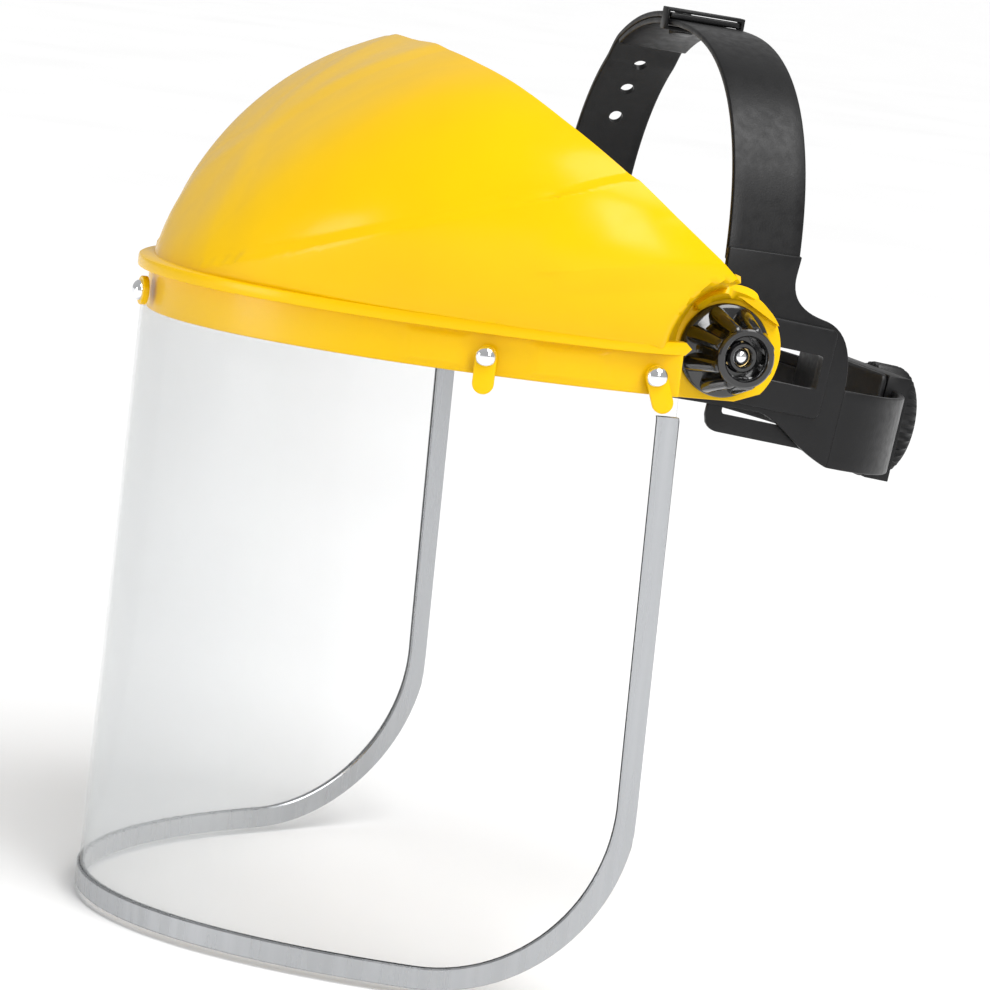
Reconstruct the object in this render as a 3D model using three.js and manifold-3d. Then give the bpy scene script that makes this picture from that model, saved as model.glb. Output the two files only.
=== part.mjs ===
// Face shield: a moulded brow guard with a clear curved window, hung on an adjustable headgear.
// Millimetres, +Z up, the wearer looks along -Y and their left side is +X.
// The origin is the middle of the lift axis, halfway between the two side pivots.
import * as THREE from 'three';
import { mergeVertices } from 'three/addons/utils/BufferGeometryUtils.js';
import Module from 'manifold-3d';

const wasm = await Module();
wasm.setup();

// ---- driving dimensions ----
const gap = 0.3; // clearance between pieces that touch

const windowSheet = {
  half: 114, depth: 142.2, acrossExponent: 2, forwardExponent: 1.56, rearY: -18, topZ: -0.8, height: 202, thick: 1, cornerR: 62, taper: 3.8,
};
const edging = { width: 6, lip: 1, thick: 2.6, slot: 1.6, startDrop: 18.2 };
const flange = { bottomZ: -0.5, topZ: 3.4, inset: 5, lip: 2.6 };
const band = { drop: 12.7, thick: 2.2 };
const dome = {
  fanY: 20, fanZ: 1.5, fanAngle: 37.7, wall: 2.2, baseReach: 178, rimReach: 129.5,
  baseHalf: 116, rimHalf: 121, bulge: 3, baseForward: 1.56, baseAcross: 2, rimExponent: 2.66, exponentBulge: 0.5,
  baseSide: 38, rimSide: 33,
};
const ear = {
  inner: 87.8, outer: 90.3, radius: 19.3, footFront: 15.7, footRear: 19, rimAngle: 28, bottomZ: -15.8,
  frontSlope: 2, rimSlope: 3.2, waistSoft: 4,
};
const stud = { drop: 6.6, headR: 3.25, headH: 2.3, shankR: 1.8, holeR: 2.3, sideU: [135, 186] };
const tab = { width: 6.6, reach: 8.3, thick: 2, rearSwing: 20 };
const knob = { baseR: 14.6, baseH: 2.6, tipR: 8.6, height: 20.6, lobes: 8, boreR: 2.9, pocketR: 5.2, recessR: 6.6 };
const bolt = { radius: 2.5, headSize: 13, headThick: 2, endH: 17 };

const gearPitch = -6.5; // headgear leans back-down against the brow guard, degrees
const side = { inner: 82, thick: 2.2, raise: 1.8 };
const slot = { front: -6.4, rear: 35.4, bottomZ: -6.6, topZ: 4.2 };
const brow = { half: 83.1, startY: -22, depth: 81, height: 28, thick: 2.2 };
const pad = { thick: 6, height: 31, reachDeg: 62 };
const crownStrap = {
  half: 83.1, rise: 85.3, exponent: 2.44, width: 24.4, thick: 2, baseX: -0.8, baseY: 10.5, baseZ: 11, lean: -2.6, roll: 2.2,
};
const strapHole = { radius: 2.4, pitch: 12.5, count: 7, firstDrop: 13.5, pegHole: 1 };
const rearStrap = { centreZ: -17.5, width: 25, half: 83.1, startY: 46, depth: 42.4, exponent: 2.1, thick: 2, endX: 37 };
const rack = { width: 17, thick: 1.8, halfLength: 34, slotHalf: 5.6, toothPitch: 3.6 };
const housing = { halfX: 36, halfZ: 17.2, frontY: 79, rearY: 89.8, wall: 2 };
const sizeKnob = { radius: 18.6, frontY: 90.4, depth: 13.6, flutes: 20 };
const pinion = { teeth: 8, pitchR: 4.6, outerR: 5.3, rootR: 3.9 };

// ---- solids ----
const rad = THREE.MathUtils.degToRad;

function toSolid(geometry) {
  let plain = geometry.clone();
  plain.deleteAttribute('normal');
  plain.deleteAttribute('uv');
  plain = mergeVertices(plain, 1e-4);
  return new wasm.Manifold(new wasm.Mesh({
    numProp: 3,
    vertProperties: new Float32Array(plain.attributes.position.array),
    triVerts: new Uint32Array(plain.index.array),
  }));
}

function toGeometry(solid) {
  const mesh = solid.simplify(0.004).getMesh();
  const geometry = new THREE.BufferGeometry();
  const points = new Float32Array(mesh.numVert * 3);
  for (let i = 0; i < mesh.numVert; i += 1) {
    for (let k = 0; k < 3; k += 1) points[i * 3 + k] = mesh.vertProperties[i * mesh.numProp + k];
  }
  geometry.setAttribute('position', new THREE.BufferAttribute(points, 3));
  geometry.setIndex(Array.from(mesh.triVerts));
  geometry.computeVertexNormals();
  return geometry;
}

const join = (...parts) => toGeometry(parts.map(toSolid).reduce((a, b) => a.add(b)));
const cut = (body, ...tools) => toGeometry(tools.map(toSolid).reduce((a, b) => a.subtract(b), toSolid(body)));

// A closed wall between two grids of points, rows by columns.
function wallBetween(outer, inner) {
  const rows = outer.length;
  const cols = outer[0].length;
  const points = [...outer.flat(), ...inner.flat()];
  const index = [];
  const at = (layer, i, j) => layer * rows * cols + i * cols + j;
  const quad = (a, b, c, d) => index.push(a, b, c, a, c, d);
  for (let i = 0; i < rows - 1; i += 1) {
    for (let j = 0; j < cols - 1; j += 1) {
      quad(at(0, i, j), at(0, i + 1, j), at(0, i + 1, j + 1), at(0, i, j + 1));
      quad(at(1, i, j), at(1, i, j + 1), at(1, i + 1, j + 1), at(1, i + 1, j));
    }
  }
  for (let j = 0; j < cols - 1; j += 1) {
    quad(at(0, 0, j), at(0, 0, j + 1), at(1, 0, j + 1), at(1, 0, j));
    quad(at(0, rows - 1, j + 1), at(0, rows - 1, j), at(1, rows - 1, j), at(1, rows - 1, j + 1));
  }
  for (let i = 0; i < rows - 1; i += 1) {
    quad(at(0, i + 1, 0), at(0, i, 0), at(1, i, 0), at(1, i + 1, 0));
    quad(at(0, i, cols - 1), at(0, i + 1, cols - 1), at(1, i + 1, cols - 1), at(1, i, cols - 1));
  }
  const geometry = new THREE.BufferGeometry();
  geometry.setAttribute('position', new THREE.Float32BufferAttribute(points.flatMap((p) => p.toArray()), 3));
  geometry.setIndex(index);
  geometry.computeVertexNormals();
  return geometry;
}

// A section swept along a list of stations, each station a list of points; the ends are capped.
function sweep(stations) {
  const n = stations[0].length;
  const index = [];
  for (let s = 0; s < stations.length - 1; s += 1) {
    for (let k = 0; k < n; k += 1) {
      const a = s * n + k;
      const b = s * n + ((k + 1) % n);
      index.push(a, b, b + n, a, b + n, a + n);
    }
  }
  const caps = THREE.ShapeUtils.triangulateShape(sweepSection, []);
  const last = (stations.length - 1) * n;
  for (const [a, b, c] of caps) {
    index.push(c, b, a);
    index.push(last + a, last + b, last + c);
  }
  const geometry = new THREE.BufferGeometry();
  geometry.setAttribute('position', new THREE.Float32BufferAttribute(stations.flat().flatMap((p) => p.toArray()), 3));
  geometry.setIndex(index);
  geometry.computeVertexNormals();
  return geometry;
}

const extrude = (shape, depth) => new THREE.ExtrudeGeometry(shape, { depth, bevelEnabled: false, curveSegments: 8 });

// A flat outline in X and Z, given thickness from y = 0 to y = depth.
const plateXZ = (shape, depth) => extrude(shape, depth).rotateX(Math.PI / 2).translate(0, depth, 0);

// An outline in Y and Z, given thickness from x = from to x = to.
function plateYZ(shape, from, to) {
  const swap = new THREE.Matrix4().makeBasis(
    new THREE.Vector3(0, 1, 0), new THREE.Vector3(0, 0, 1), new THREE.Vector3(1, 0, 0));
  return extrude(shape, to - from).applyMatrix4(swap).translate(from, 0, 0);
}

function lathe(profile, segments = 24) {
  return new THREE.LatheGeometry(profile.map(([r, y]) => new THREE.Vector2(r, y)), segments);
}

// Round bars on the Y axis, and on the X axis at one side, from one distance out to another.
const barY = (radius, from, to, segments = 16) => lathe([[0, from], [radius, from], [radius, to], [0, to]], segments);
const barX = (sign, radius, from, to) => barY(radius, from, to).rotateZ((-sign * Math.PI) / 2);
const boxAt = (x0, x1, y0, y1, z0, z1) => new THREE.BoxGeometry(x1 - x0, y1 - y0, z1 - z0)
  .translate((x0 + x1) / 2, (y0 + y1) / 2, (z0 + z1) / 2);

function polygon(points) {
  const shape = new THREE.Shape();
  points.forEach(([x, y], i) => (i ? shape.lineTo(x, y) : shape.moveTo(x, y)));
  shape.closePath();
  return shape;
}

// ---- a curve with its length measured along it ----
function measured(curveAt, steps = 1600) {
  const points = [];
  const lengths = [0];
  for (let i = 0; i <= steps; i += 1) points.push(curveAt(i / steps));
  for (let i = 1; i <= steps; i += 1) lengths.push(lengths[i - 1] + points[i].distanceTo(points[i - 1]));
  const total = lengths[steps];
  const at = (distance) => {
    const d = Math.min(Math.max(distance, 0), total);
    let low = 0;
    let high = steps;
    while (high - low > 1) {
      const middle = (low + high) >> 1;
      if (lengths[middle] > d) high = middle;
      else low = middle;
    }
    const point = points[low].clone().lerp(points[high], (d - lengths[low]) / (lengths[high] - lengths[low]));
    const tangent = points[Math.min(high + 2, steps)].clone().sub(points[Math.max(low - 2, 0)]).normalize();
    return { point, tangent };
  };
  return { total, at };
}

const power = (value, exponent) => Math.sign(value) * Math.abs(value) ** exponent;

// A thick strip along part of a measured curve, as an outline in the curve's plane.
// Offsets count towards the side that lies on the left of the curve's direction, seen with y downwards.
function stripShape(curve, from, to, innerOffset, outerOffset, steps) {
  const outer = [];
  const inner = [];
  for (let i = 0; i <= steps; i += 1) {
    const distance = from + ((to - from) * i) / steps;
    const { point, tangent } = curve.at(distance);
    const normal = new THREE.Vector2(-tangent.y, tangent.x);
    const shift = typeof outerOffset === 'function' ? outerOffset(distance) : [innerOffset, outerOffset];
    inner.push(point.clone().addScaledVector(normal, shift[0]));
    outer.push(point.clone().addScaledVector(normal, shift[1]));
  }
  return polygon([...outer, ...inner.reverse()].map((p) => [p.x, p.y]));
}

// ---- the window's plan curve, from the wearer's left rear edge round the front to the right ----
const planCurve = measured((f) => {
  const t = Math.PI * f;
  return new THREE.Vector2(
    windowSheet.half * power(Math.cos(t), 2 / windowSheet.acrossExponent),
    windowSheet.rearY - windowSheet.depth * Math.sin(t) ** (2 / windowSheet.forwardExponent));
});
const developedWidth = planCurve.total;

// u runs from -half to +half of the developed width and is positive on the wearer's left.
function planAt(u) {
  const { point, tangent } = planCurve.at(developedWidth / 2 - u);
  return { point, normal: new THREE.Vector2(-tangent.y, tangent.x) };
}

function windowPoint(u, drop, offset) {
  const { point, normal } = planAt(u);
  return new THREE.Vector3(point.x + normal.x * offset, point.y + normal.y * offset, windowSheet.topZ - drop);
}

// The sheet's side edges lean in towards the top, by this much at each drop.
const edgeLean = (drop) => windowSheet.taper * (1 - drop / (windowSheet.height - windowSheet.cornerR));

// Columns across the sheet: even steps in the middle, finer round the lower corners.
function sheetColumns(inset, middleSteps, cornerSteps) {
  const edge = developedWidth / 2;
  const radius = windowSheet.cornerR;
  const columns = [];
  for (let i = 0; i < cornerSteps; i += 1) {
    const a = (Math.PI / 2) * (i / cornerSteps);
    columns.push([-(edge - radius) - (radius - inset) * Math.cos(a), windowSheet.height - radius + (radius - inset) * Math.sin(a)]);
  }
  for (let i = 0; i <= middleSteps; i += 1) {
    columns.push([(edge - radius) * (-1 + (2 * i) / middleSteps), windowSheet.height - inset]);
  }
  const right = columns.slice(0, cornerSteps).map(([u, drop]) => [-u, drop]).reverse();
  return [...columns, ...right];
}

// ---- brow guard ----
const footRadius = (k) => ear.footFront + (ear.footRear - ear.footFront) * k;

// Near each ear the side of the dome leans in towards the ear plate, clear of the knob.
function waisted(point, k) {
  const away = Math.max(0, Math.hypot(point.y, point.z) - footRadius(k));
  const limit = ear.outer + (ear.frontSlope + (ear.rimSlope - ear.frontSlope) * k) * away;
  const soft = Math.min(ear.waistSoft, away) + 1e-6;
  const width = Math.abs(point.x);
  const share = THREE.MathUtils.clamp(0.5 + (limit - width) / (2 * soft), 0, 1);
  const waist = limit + (width - limit) * share - soft * share * (1 - share);
  return point.setX(Math.sign(point.x) * waist);
}

function domePoint(k, s) {
  const angle = rad(dome.fanAngle * k);
  const hump = 4 * k * (1 - k);
  const blend = (from, to) => from + (to - from) * k;
  const half = blend(dome.baseHalf, dome.rimHalf) + hump * dome.bulge;
  const forward = blend(dome.baseForward, dome.rimExponent) + hump * dome.exponentBulge;
  const crosswise = blend(dome.baseAcross, dome.rimExponent) + hump * dome.exponentBulge;
  const reach = blend(dome.baseReach, dome.rimReach);
  const sideReach = blend(dome.baseSide, dome.rimSide);
  const sign = Math.sign(s);
  const across = Math.abs(s);
  const earShare = 0.15;
  const onFan = (x, r) => new THREE.Vector3(x, dome.fanY - r * Math.cos(angle), dome.fanZ + r * Math.sin(angle));
  if (across <= 1 - earShare) {
    const t = (Math.PI / 2) * (1 - across / (1 - earShare));
    const x = sign * half * Math.abs(Math.cos(t)) ** (2 / crosswise);
    return waisted(onFan(x, sideReach + (reach - sideReach) * Math.sin(t) ** (2 / forward)), k);
  }
  const t = (1 - across) / earShare;
  const footAngle = rad(180 - (180 - ear.rimAngle) * k);
  const footR = footRadius(k);
  const foot = new THREE.Vector3(0, footR * Math.cos(footAngle), footR * Math.sin(footAngle) + dome.fanZ * (1 - k));
  const x = sign * (ear.outer + (half - ear.outer) * (1 - (1 - t) ** 2) ** 0.75);
  return waisted(foot.lerp(onFan(0, sideReach), t).setX(x), k);
}

function domeWall() {
  const rows = 8;
  const cols = 20;
  const outer = [];
  const inner = [];
  const nudge = 1e-3;
  for (let i = 0; i <= rows; i += 1) {
    const k = i / rows;
    outer.push([]);
    inner.push([]);
    for (let j = -cols; j <= cols; j += 1) {
      const s = j / cols;
      const along = domePoint(k, Math.min(s + nudge, 1)).sub(domePoint(k, Math.max(s - nudge, -1)));
      const up = domePoint(Math.min(k + nudge, 1), s).sub(domePoint(Math.max(k - nudge, 0), s));
      const normal = along.cross(up).normalize();
      const point = domePoint(k, s);
      outer[i].push(point);
      inner[i].push(point.clone().addScaledVector(normal, -dome.wall));
    }
  }
  return wallBetween(inner, outer);
}

function planRing(innerOffset, outerOffset, from, to, bottomZ, topZ) {
  const outline = stripShape(planCurve, from, to, innerOffset, outerOffset, 44);
  return extrude(outline, topZ - bottomZ).translate(0, 0, bottomZ);
}

function earPlate(sign) {
  const shape = new THREE.Shape();
  shape.moveTo(-13, ear.bottomZ);
  shape.lineTo(6, ear.bottomZ);
  shape.absarc(0, 0, ear.radius, rad(-42), rad(150), false);
  shape.lineTo(-17.5, 2);
  shape.lineTo(-15.4, 0);
  shape.closePath();
  return sign > 0 ? plateYZ(shape, ear.inner, ear.outer) : plateYZ(shape, -ear.outer, -ear.inner);
}

// Puts a geometry whose Y axis is the sheet's outward normal, and Z is up, at u on the window.
function onSheet(geometry, u, z) {
  const { point, normal } = planAt(u);
  const out = new THREE.Vector3(normal.x, normal.y, 0);
  const up = new THREE.Vector3(0, 0, 1);
  const basis = new THREE.Matrix4().makeBasis(out.clone().cross(up), out, up).setPosition(point.x, point.y, z);
  return geometry.applyMatrix4(basis);
}

const studZ = flange.bottomZ - stud.drop;
const studPlaces = [
  ['stud_front', 0],
  ...['left', 'right'].flatMap((name, i) => ['mid', 'rear'].map((where, k) => [
    `stud_${where}_${name}`, (i ? -1 : 1) * stud.sideU[k]])),
];
const studBores = (radius) => studPlaces.map(([, u]) => onSheet(barY(radius, -8, 8, 12), u, studZ));

function crownGeometry() {
  const bandOuter = -windowSheet.thick / 2 - gap;
  const skirt = planRing(bandOuter - band.thick, bandOuter, 3, developedWidth - 3, flange.bottomZ - band.drop, flange.topZ - 1);
  const ledge = planRing(-flange.inset, flange.lip, 0, developedWidth, flange.bottomZ, flange.topZ);
  const whole = join(domeWall(), ledge, skirt, earPlate(1), earPlate(-1));
  return cut(whole, ...studBores(stud.holeR), barX(1, knob.boreR, 80, 100), barX(-1, knob.boreR, 80, 100));
}

function windowGeometry() {
  const columns = sheetColumns(0, 34, 9);
  const topShare = 1 - (2 * edgeLean(0)) / developedWidth;
  const grid = (offset) => [
    columns.map(([u]) => windowPoint(u * topShare, 0, offset)),
    columns.map(([u, drop]) => windowPoint(u, drop, offset)),
  ];
  const sheet = wallBetween(grid(windowSheet.thick / 2), grid(-windowSheet.thick / 2));
  return cut(sheet, ...studBores(stud.holeR));
}

// The edging's section: a is the distance in from the sheet's edge, b stands off its face.
const edgeHalf = edging.thick / 2;
const slotHalf = edging.slot / 2;
const sweepSection = [
  [-edging.lip, -edgeHalf], [edging.width, -edgeHalf], [edging.width, -slotHalf], [-gap, -slotHalf],
  [-gap, slotHalf], [edging.width, slotHalf], [edging.width, edgeHalf], [-edging.lip, edgeHalf],
].map(([a, b]) => new THREE.Vector2(a, b));

function edgingGeometry() {
  const rim = (inset) => {
    const edge = developedWidth / 2 - inset;
    const start = edge - edgeLean(edging.startDrop);
    return [[-start, edging.startDrop], ...sheetColumns(inset, 34, 9), [start, edging.startDrop]];
  };
  const rims = sweepSection.map(({ x }) => rim(x));
  const stations = rims[0].map((_, i) => sweepSection.map(({ y }, k) => windowPoint(rims[k][i][0], rims[k][i][1], y)));
  return sweep(stations);
}

function studGeometry(standOff) {
  const inside = -windowSheet.thick / 2 - gap - band.thick - gap;
  return lathe([
    [0, inside - 1], [2.9, inside - 1], [2.9, inside], [stud.shankR, inside], [stud.shankR, standOff],
    [stud.headR, standOff], [stud.headR * 0.93, standOff + 1], [stud.headR * 0.6, standOff + 1.95], [0, standOff + stud.headH],
  ], 12);
}

function tabGeometry(swing) {
  const half = tab.width / 2;
  const shape = new THREE.Shape();
  shape.absarc(0, 0, half, 0, Math.PI, false);
  shape.lineTo(-half, -tab.reach);
  shape.absarc(0, -tab.reach, half, Math.PI, 2 * Math.PI, false);
  shape.closePath();
  const hole = new THREE.Path();
  hole.absarc(0, 0, stud.holeR, 0, 2 * Math.PI, true);
  shape.holes.push(hole);
  return plateXZ(shape, tab.thick).translate(0, windowSheet.thick / 2 + gap, 0).rotateY(rad(swing));
}

// ---- side knobs, bolts and sliding carriage ----
function knobGeometry() {
  const top = knob.height;
  const body = lathe([
    [knob.boreR, 0], [knob.baseR, 0], [knob.baseR, knob.baseH], [11, knob.baseH + 1.2], [tipTaper(top - 3), top - 3],
    [9.1, top - 2.6], [9.1, top], [knob.recessR, top], [knob.recessR, top - 5], [knob.pocketR, top - 5],
    [knob.pocketR, 9], [knob.boreR, 9], [knob.boreR, 0],
  ], 20);
  const rib = polygon([[7.6, 1], [knob.baseR - 0.6, 1], [knob.baseR - 0.9, 4.6], [9.9, top - 1.6], [7.6, top - 1.6]]);
  const ribs = [];
  for (let i = 0; i < knob.lobes; i += 1) {
    ribs.push(extrude(rib, 2.8).translate(0, 0, -1.4).rotateY((2 * Math.PI * i) / knob.lobes));
  }
  return join(body, ...ribs);
}

function tipTaper(h) {
  return 11 + ((knob.tipR - 11) * (h - knob.baseH)) / (knob.height - knob.baseH);
}

const knobStart = ear.outer + gap;
const nutGeometry = () => cut(lathe([[0, 9 + gap], [4.9, 9 + gap], [4.9, 15], [0, 15]], 6), barY(bolt.radius + gap, 5, 20));

function boltGeometry() {
  const headInner = side.inner - gap - bolt.headThick;
  const head = boxAt(-bolt.headSize / 2, bolt.headSize / 2, headInner, headInner + bolt.headThick, -bolt.headSize / 2, bolt.headSize / 2);
  const end = knobStart + bolt.endH;
  const shank = lathe([
    [0, headInner + 1], [bolt.radius, headInner + 1], [bolt.radius, end - 1.4], [bolt.radius * 0.75, end - 0.4], [0, end],
  ], 16);
  return join(head, shank);
}

const sideFace = side.inner + side.thick + side.raise;

function blockGeometry() {
  const block = boxAt(-5.8, 5.8, side.inner, sideFace + gap, slot.bottomZ + gap, slot.topZ - gap);
  return cut(block, barY(bolt.radius + gap, 70, 100));
}

const washerGeometry = () => cut(barY(11, sideFace + 2 * gap, ear.inner - gap), barY(bolt.radius + gap, 70, 100));

// ---- headgear ----
const browCurve = measured((f) => {
  const t = Math.PI * f;
  return new THREE.Vector2(brow.half * Math.cos(t), brow.startY - brow.depth * Math.sin(t));
});

function browStrip(innerOffset, outerOffset, from, to, bottomZ, topZ, steps) {
  const outline = stripShape(browCurve, from, to, innerOffset, outerOffset, steps);
  return extrude(outline, topZ - bottomZ).translate(0, 0, bottomZ);
}

function sideOutline() {
  const half = crownStrap.width / 2;
  const lean = Math.tan(rad(gearPitch - crownStrap.lean));
  const strapAt = (z) => crownStrap.baseY + (z - crownStrap.baseZ) * lean;
  const top = 30;
  const strapBottom = rearStrap.centreZ - rearStrap.width / 2;
  const shape = new THREE.Shape();
  shape.moveTo(-24, -14);
  shape.lineTo(-16, -18.4);
  shape.lineTo(18, -17);
  shape.bezierCurveTo(27, -17.5, 32, -25.5, rearStrap.startY - gap, strapBottom);
  shape.lineTo(rearStrap.startY - gap, strapBottom + rearStrap.width);
  shape.quadraticCurveTo(45.4, 14, 33, 15.2);
  shape.quadraticCurveTo(strapAt(22) + half - 1.2, 17, strapAt(26) + half - 0.6, 27);
  shape.lineTo(strapAt(top) + half, top - half * lean);
  shape.lineTo(strapAt(top) - half, top + half * lean);
  shape.lineTo(strapAt(22) - half, 22);
  shape.quadraticCurveTo(strapAt(14) - half, 14, -16, 14);
  shape.lineTo(-24, 14);
  shape.closePath();
  return shape;
}

function headbandGeometry() {
  const raised = polygon([[-18, -17.6], [39.6, -14.8], [38, 13], [-18, 13]]);
  const strip = browStrip(-brow.thick / 2, brow.thick / 2, 0, browCurve.total, -brow.height / 2, brow.height / 2, 30);
  const outer = side.inner + side.thick;
  const whole = join(
    strip,
    plateYZ(sideOutline(), side.inner, outer), plateYZ(raised, outer - 0.5, sideFace),
    plateYZ(sideOutline(), -outer, -side.inner), plateYZ(raised, -sideFace, -outer + 0.5));
  const track = boxAt(-100, 100, slot.front, slot.rear, slot.bottomZ, slot.topZ);
  return cut(whole, track);
}

function browPadGeometry() {
  const middle = browCurve.total / 2;
  const reach = (browCurve.total / 2) * (pad.reachDeg / 90);
  const face = -brow.thick / 2 - gap;
  return browStrip(face - pad.thick, face, middle - reach, middle + reach, -pad.height / 2, pad.height / 2, 24);
}

// Crown strap: an arch in its own X-Z plane, measured from the wearer's left foot over the top.
const archCurve = measured((f) => {
  const t = Math.PI * f;
  return new THREE.Vector2(
    crownStrap.half * power(Math.cos(t), 2 / crownStrap.exponent),
    crownStrap.rise * Math.sin(t) ** (2 / crownStrap.exponent));
});
const archTop = archCurve.total / 2;
const archFoot = 19.6;
const rollDrop = crownStrap.half * Math.sin(rad(crownStrap.roll));
const overlap = { leftEnd: 52, rightEnd: -4.5, ramp: 12, lift: 2.15 };

const archStrip = (shape) => plateXZ(shape, crownStrap.width).translate(0, -crownStrap.width / 2, 0);

function crownStrapLeft() {
  const half = crownStrap.thick / 2;
  const strip = archStrip(stripShape(archCurve, archFoot + rollDrop, archTop + overlap.leftEnd, half, -half, 34));
  return cut(strip, archBore(strapHole.pegHole * strapHole.pitch));
}

// How far the right half stands off, where it passes over the left one.
function rightLift(distance) {
  const past = archTop + overlap.leftEnd + overlap.ramp - distance;
  const share = Math.min(Math.max(past / overlap.ramp, 0), 1);
  return overlap.lift * share * share * (3 - 2 * share);
}

function crownStrapRight() {
  const half = crownStrap.thick / 2;
  const offsets = (distance) => [half - rightLift(distance), -half - rightLift(distance)];
  const strip = archStrip(stripShape(archCurve, archTop - overlap.rightEnd, archCurve.total - archFoot + rollDrop, 0, offsets, 40));
  const bores = [];
  for (let i = 0; i < strapHole.count; i += 1) bores.push(archBore(i * strapHole.pitch));
  return cut(strip, ...bores);
}

// Stands a geometry's Y axis along the arch's outward normal, at a distance past the peg.
function onArch(geometry, past) {
  const { point, tangent } = archCurve.at(archTop + strapHole.firstDrop + past);
  const out = new THREE.Vector3(tangent.y, 0, -tangent.x);
  const turn = new THREE.Quaternion().setFromUnitVectors(new THREE.Vector3(0, 1, 0), out);
  return geometry.applyQuaternion(turn).translate(point.x, 0, point.y);
}

const archBore = (past) => onArch(barY(strapHole.radius, -6, 9, 14), past);

function pegGeometry() {
  const under = -crownStrap.thick / 2 - gap;
  const over = crownStrap.thick / 2 + overlap.lift + 2 * gap;
  const shank = strapHole.radius - gap;
  return onArch(lathe([
    [0, under - 1.4], [4, under - 1.4], [4, under], [shank, under], [shank, over], [3.2, over], [2.6, over + 1.2], [0, over + 1.6],
  ], 14), strapHole.pegHole * strapHole.pitch);
}

function keeperGeometry() {
  const half = 2.3;
  const { point } = archCurve.at(archTop - overlap.rightEnd + half);
  const floor = point.y - crownStrap.thick / 2 - 0.4;
  const roof = point.y + crownStrap.thick / 2 + overlap.lift + 0.3;
  const reach = crownStrap.width / 2 + 0.4;
  const wall = 1.2;
  const outer = boxAt(point.x - half, point.x + half, -reach - wall, reach + wall, floor - wall, roof + wall);
  return cut(outer, boxAt(point.x - 5, point.x + 5, -reach, reach, floor, roof));
}

// Rear strap: plan curve from the left side plate round to the ratchet at the nape.
const rearCurve = measured((f) => {
  const t = Math.PI * f;
  return new THREE.Vector2(
    rearStrap.half * power(Math.cos(t), 2 / rearStrap.exponent),
    rearStrap.startY + rearStrap.depth * Math.sin(t) ** (2 / rearStrap.exponent));
});

function rearLengthAtX(x) {
  let low = 0;
  let high = rearCurve.total;
  for (let i = 0; i < 40; i += 1) {
    const middle = (low + high) / 2;
    if (rearCurve.at(middle).point.x > x) low = middle;
    else high = middle;
  }
  return low;
}

const mirrorX = (geometry) => {
  const flipped = geometry.clone().scale(-1, 1, 1);
  const order = flipped.index ? flipped.index.array : null;
  if (!order) return toGeometry(toSolid(geometry).mirror([1, 0, 0]));
  for (let i = 0; i < order.length; i += 3) [order[i], order[i + 1]] = [order[i + 1], order[i]];
  flipped.computeVertexNormals();
  return flipped;
};

function rearStrapGeometry() {
  const half = rearStrap.thick / 2;
  const outline = stripShape(rearCurve, 0, rearLengthAtX(rearStrap.endX), half, -half, 20);
  return extrude(outline, rearStrap.width).translate(0, 0, rearStrap.centreZ - rearStrap.width / 2);
}

// The toothed end of the opposite strap, lying inside this side's strap and plate.
function tailGeometry() {
  const inset = rearStrap.thick / 2 + 0.5;
  const outline = stripShape(rearCurve, 0, rearLengthAtX(rearStrap.endX), inset + rack.thick, inset, 20);
  const bent = extrude(outline, rack.width).translate(0, 0, rearStrap.centreZ - rack.width / 2);
  const outerX = rearStrap.half - inset;
  const front = new THREE.Shape();
  const low = rearStrap.centreZ - rack.width / 2;
  const high = low + rack.width;
  front.moveTo(rearStrap.startY + 0.5, low);
  front.lineTo(rearStrap.startY + 0.5, high);
  front.lineTo(6, high);
  front.quadraticCurveTo(3, high, 3, high - 3);
  front.lineTo(3, low + 3);
  front.quadraticCurveTo(3, low, 6, low);
  front.closePath();
  const straight = plateYZ(front, outerX - rack.thick, outerX);
  const slotCut = boxAt(70, 90, 8, rearStrap.startY - 8, rearStrap.centreZ - rack.slotHalf, rearStrap.centreZ + rack.slotHalf);
  return cut(join(bent, straight), slotCut);
}

// A flat toothed strap end inside the ratchet: a long slot with teeth along one edge.
function rackGeometry(toothSide, frontY) {
  const shape = new THREE.Shape();
  const half = rack.width / 2;
  shape.moveTo(-rack.halfLength, -half);
  shape.lineTo(rack.halfLength, -half);
  shape.lineTo(rack.halfLength, half);
  shape.lineTo(-rack.halfLength, half);
  shape.closePath();
  const reach = rack.halfLength - 5;
  const slotPath = new THREE.Path();
  const tip = toothSide * (pinion.pitchR - 0.4);
  const root = toothSide * (pinion.outerR + 0.5);
  slotPath.moveTo(-reach, -toothSide * rack.slotHalf);
  slotPath.lineTo(reach, -toothSide * rack.slotHalf);
  slotPath.lineTo(reach, root);
  const teeth = Math.floor(reach / rack.toothPitch);
  for (let i = teeth - 1; i >= -teeth; i -= 1) {
    const x = i * rack.toothPitch + rack.toothPitch / 2;
    slotPath.lineTo(x + rack.toothPitch * 0.28, root);
    slotPath.lineTo(x + rack.toothPitch * 0.12, tip);
    slotPath.lineTo(x - rack.toothPitch * 0.12, tip);
    slotPath.lineTo(x - rack.toothPitch * 0.28, root);
  }
  slotPath.lineTo(-reach, root);
  slotPath.closePath();
  shape.holes.push(slotPath);
  return plateXZ(shape, rack.thick).translate(0, frontY, rearStrap.centreZ);
}

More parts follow.
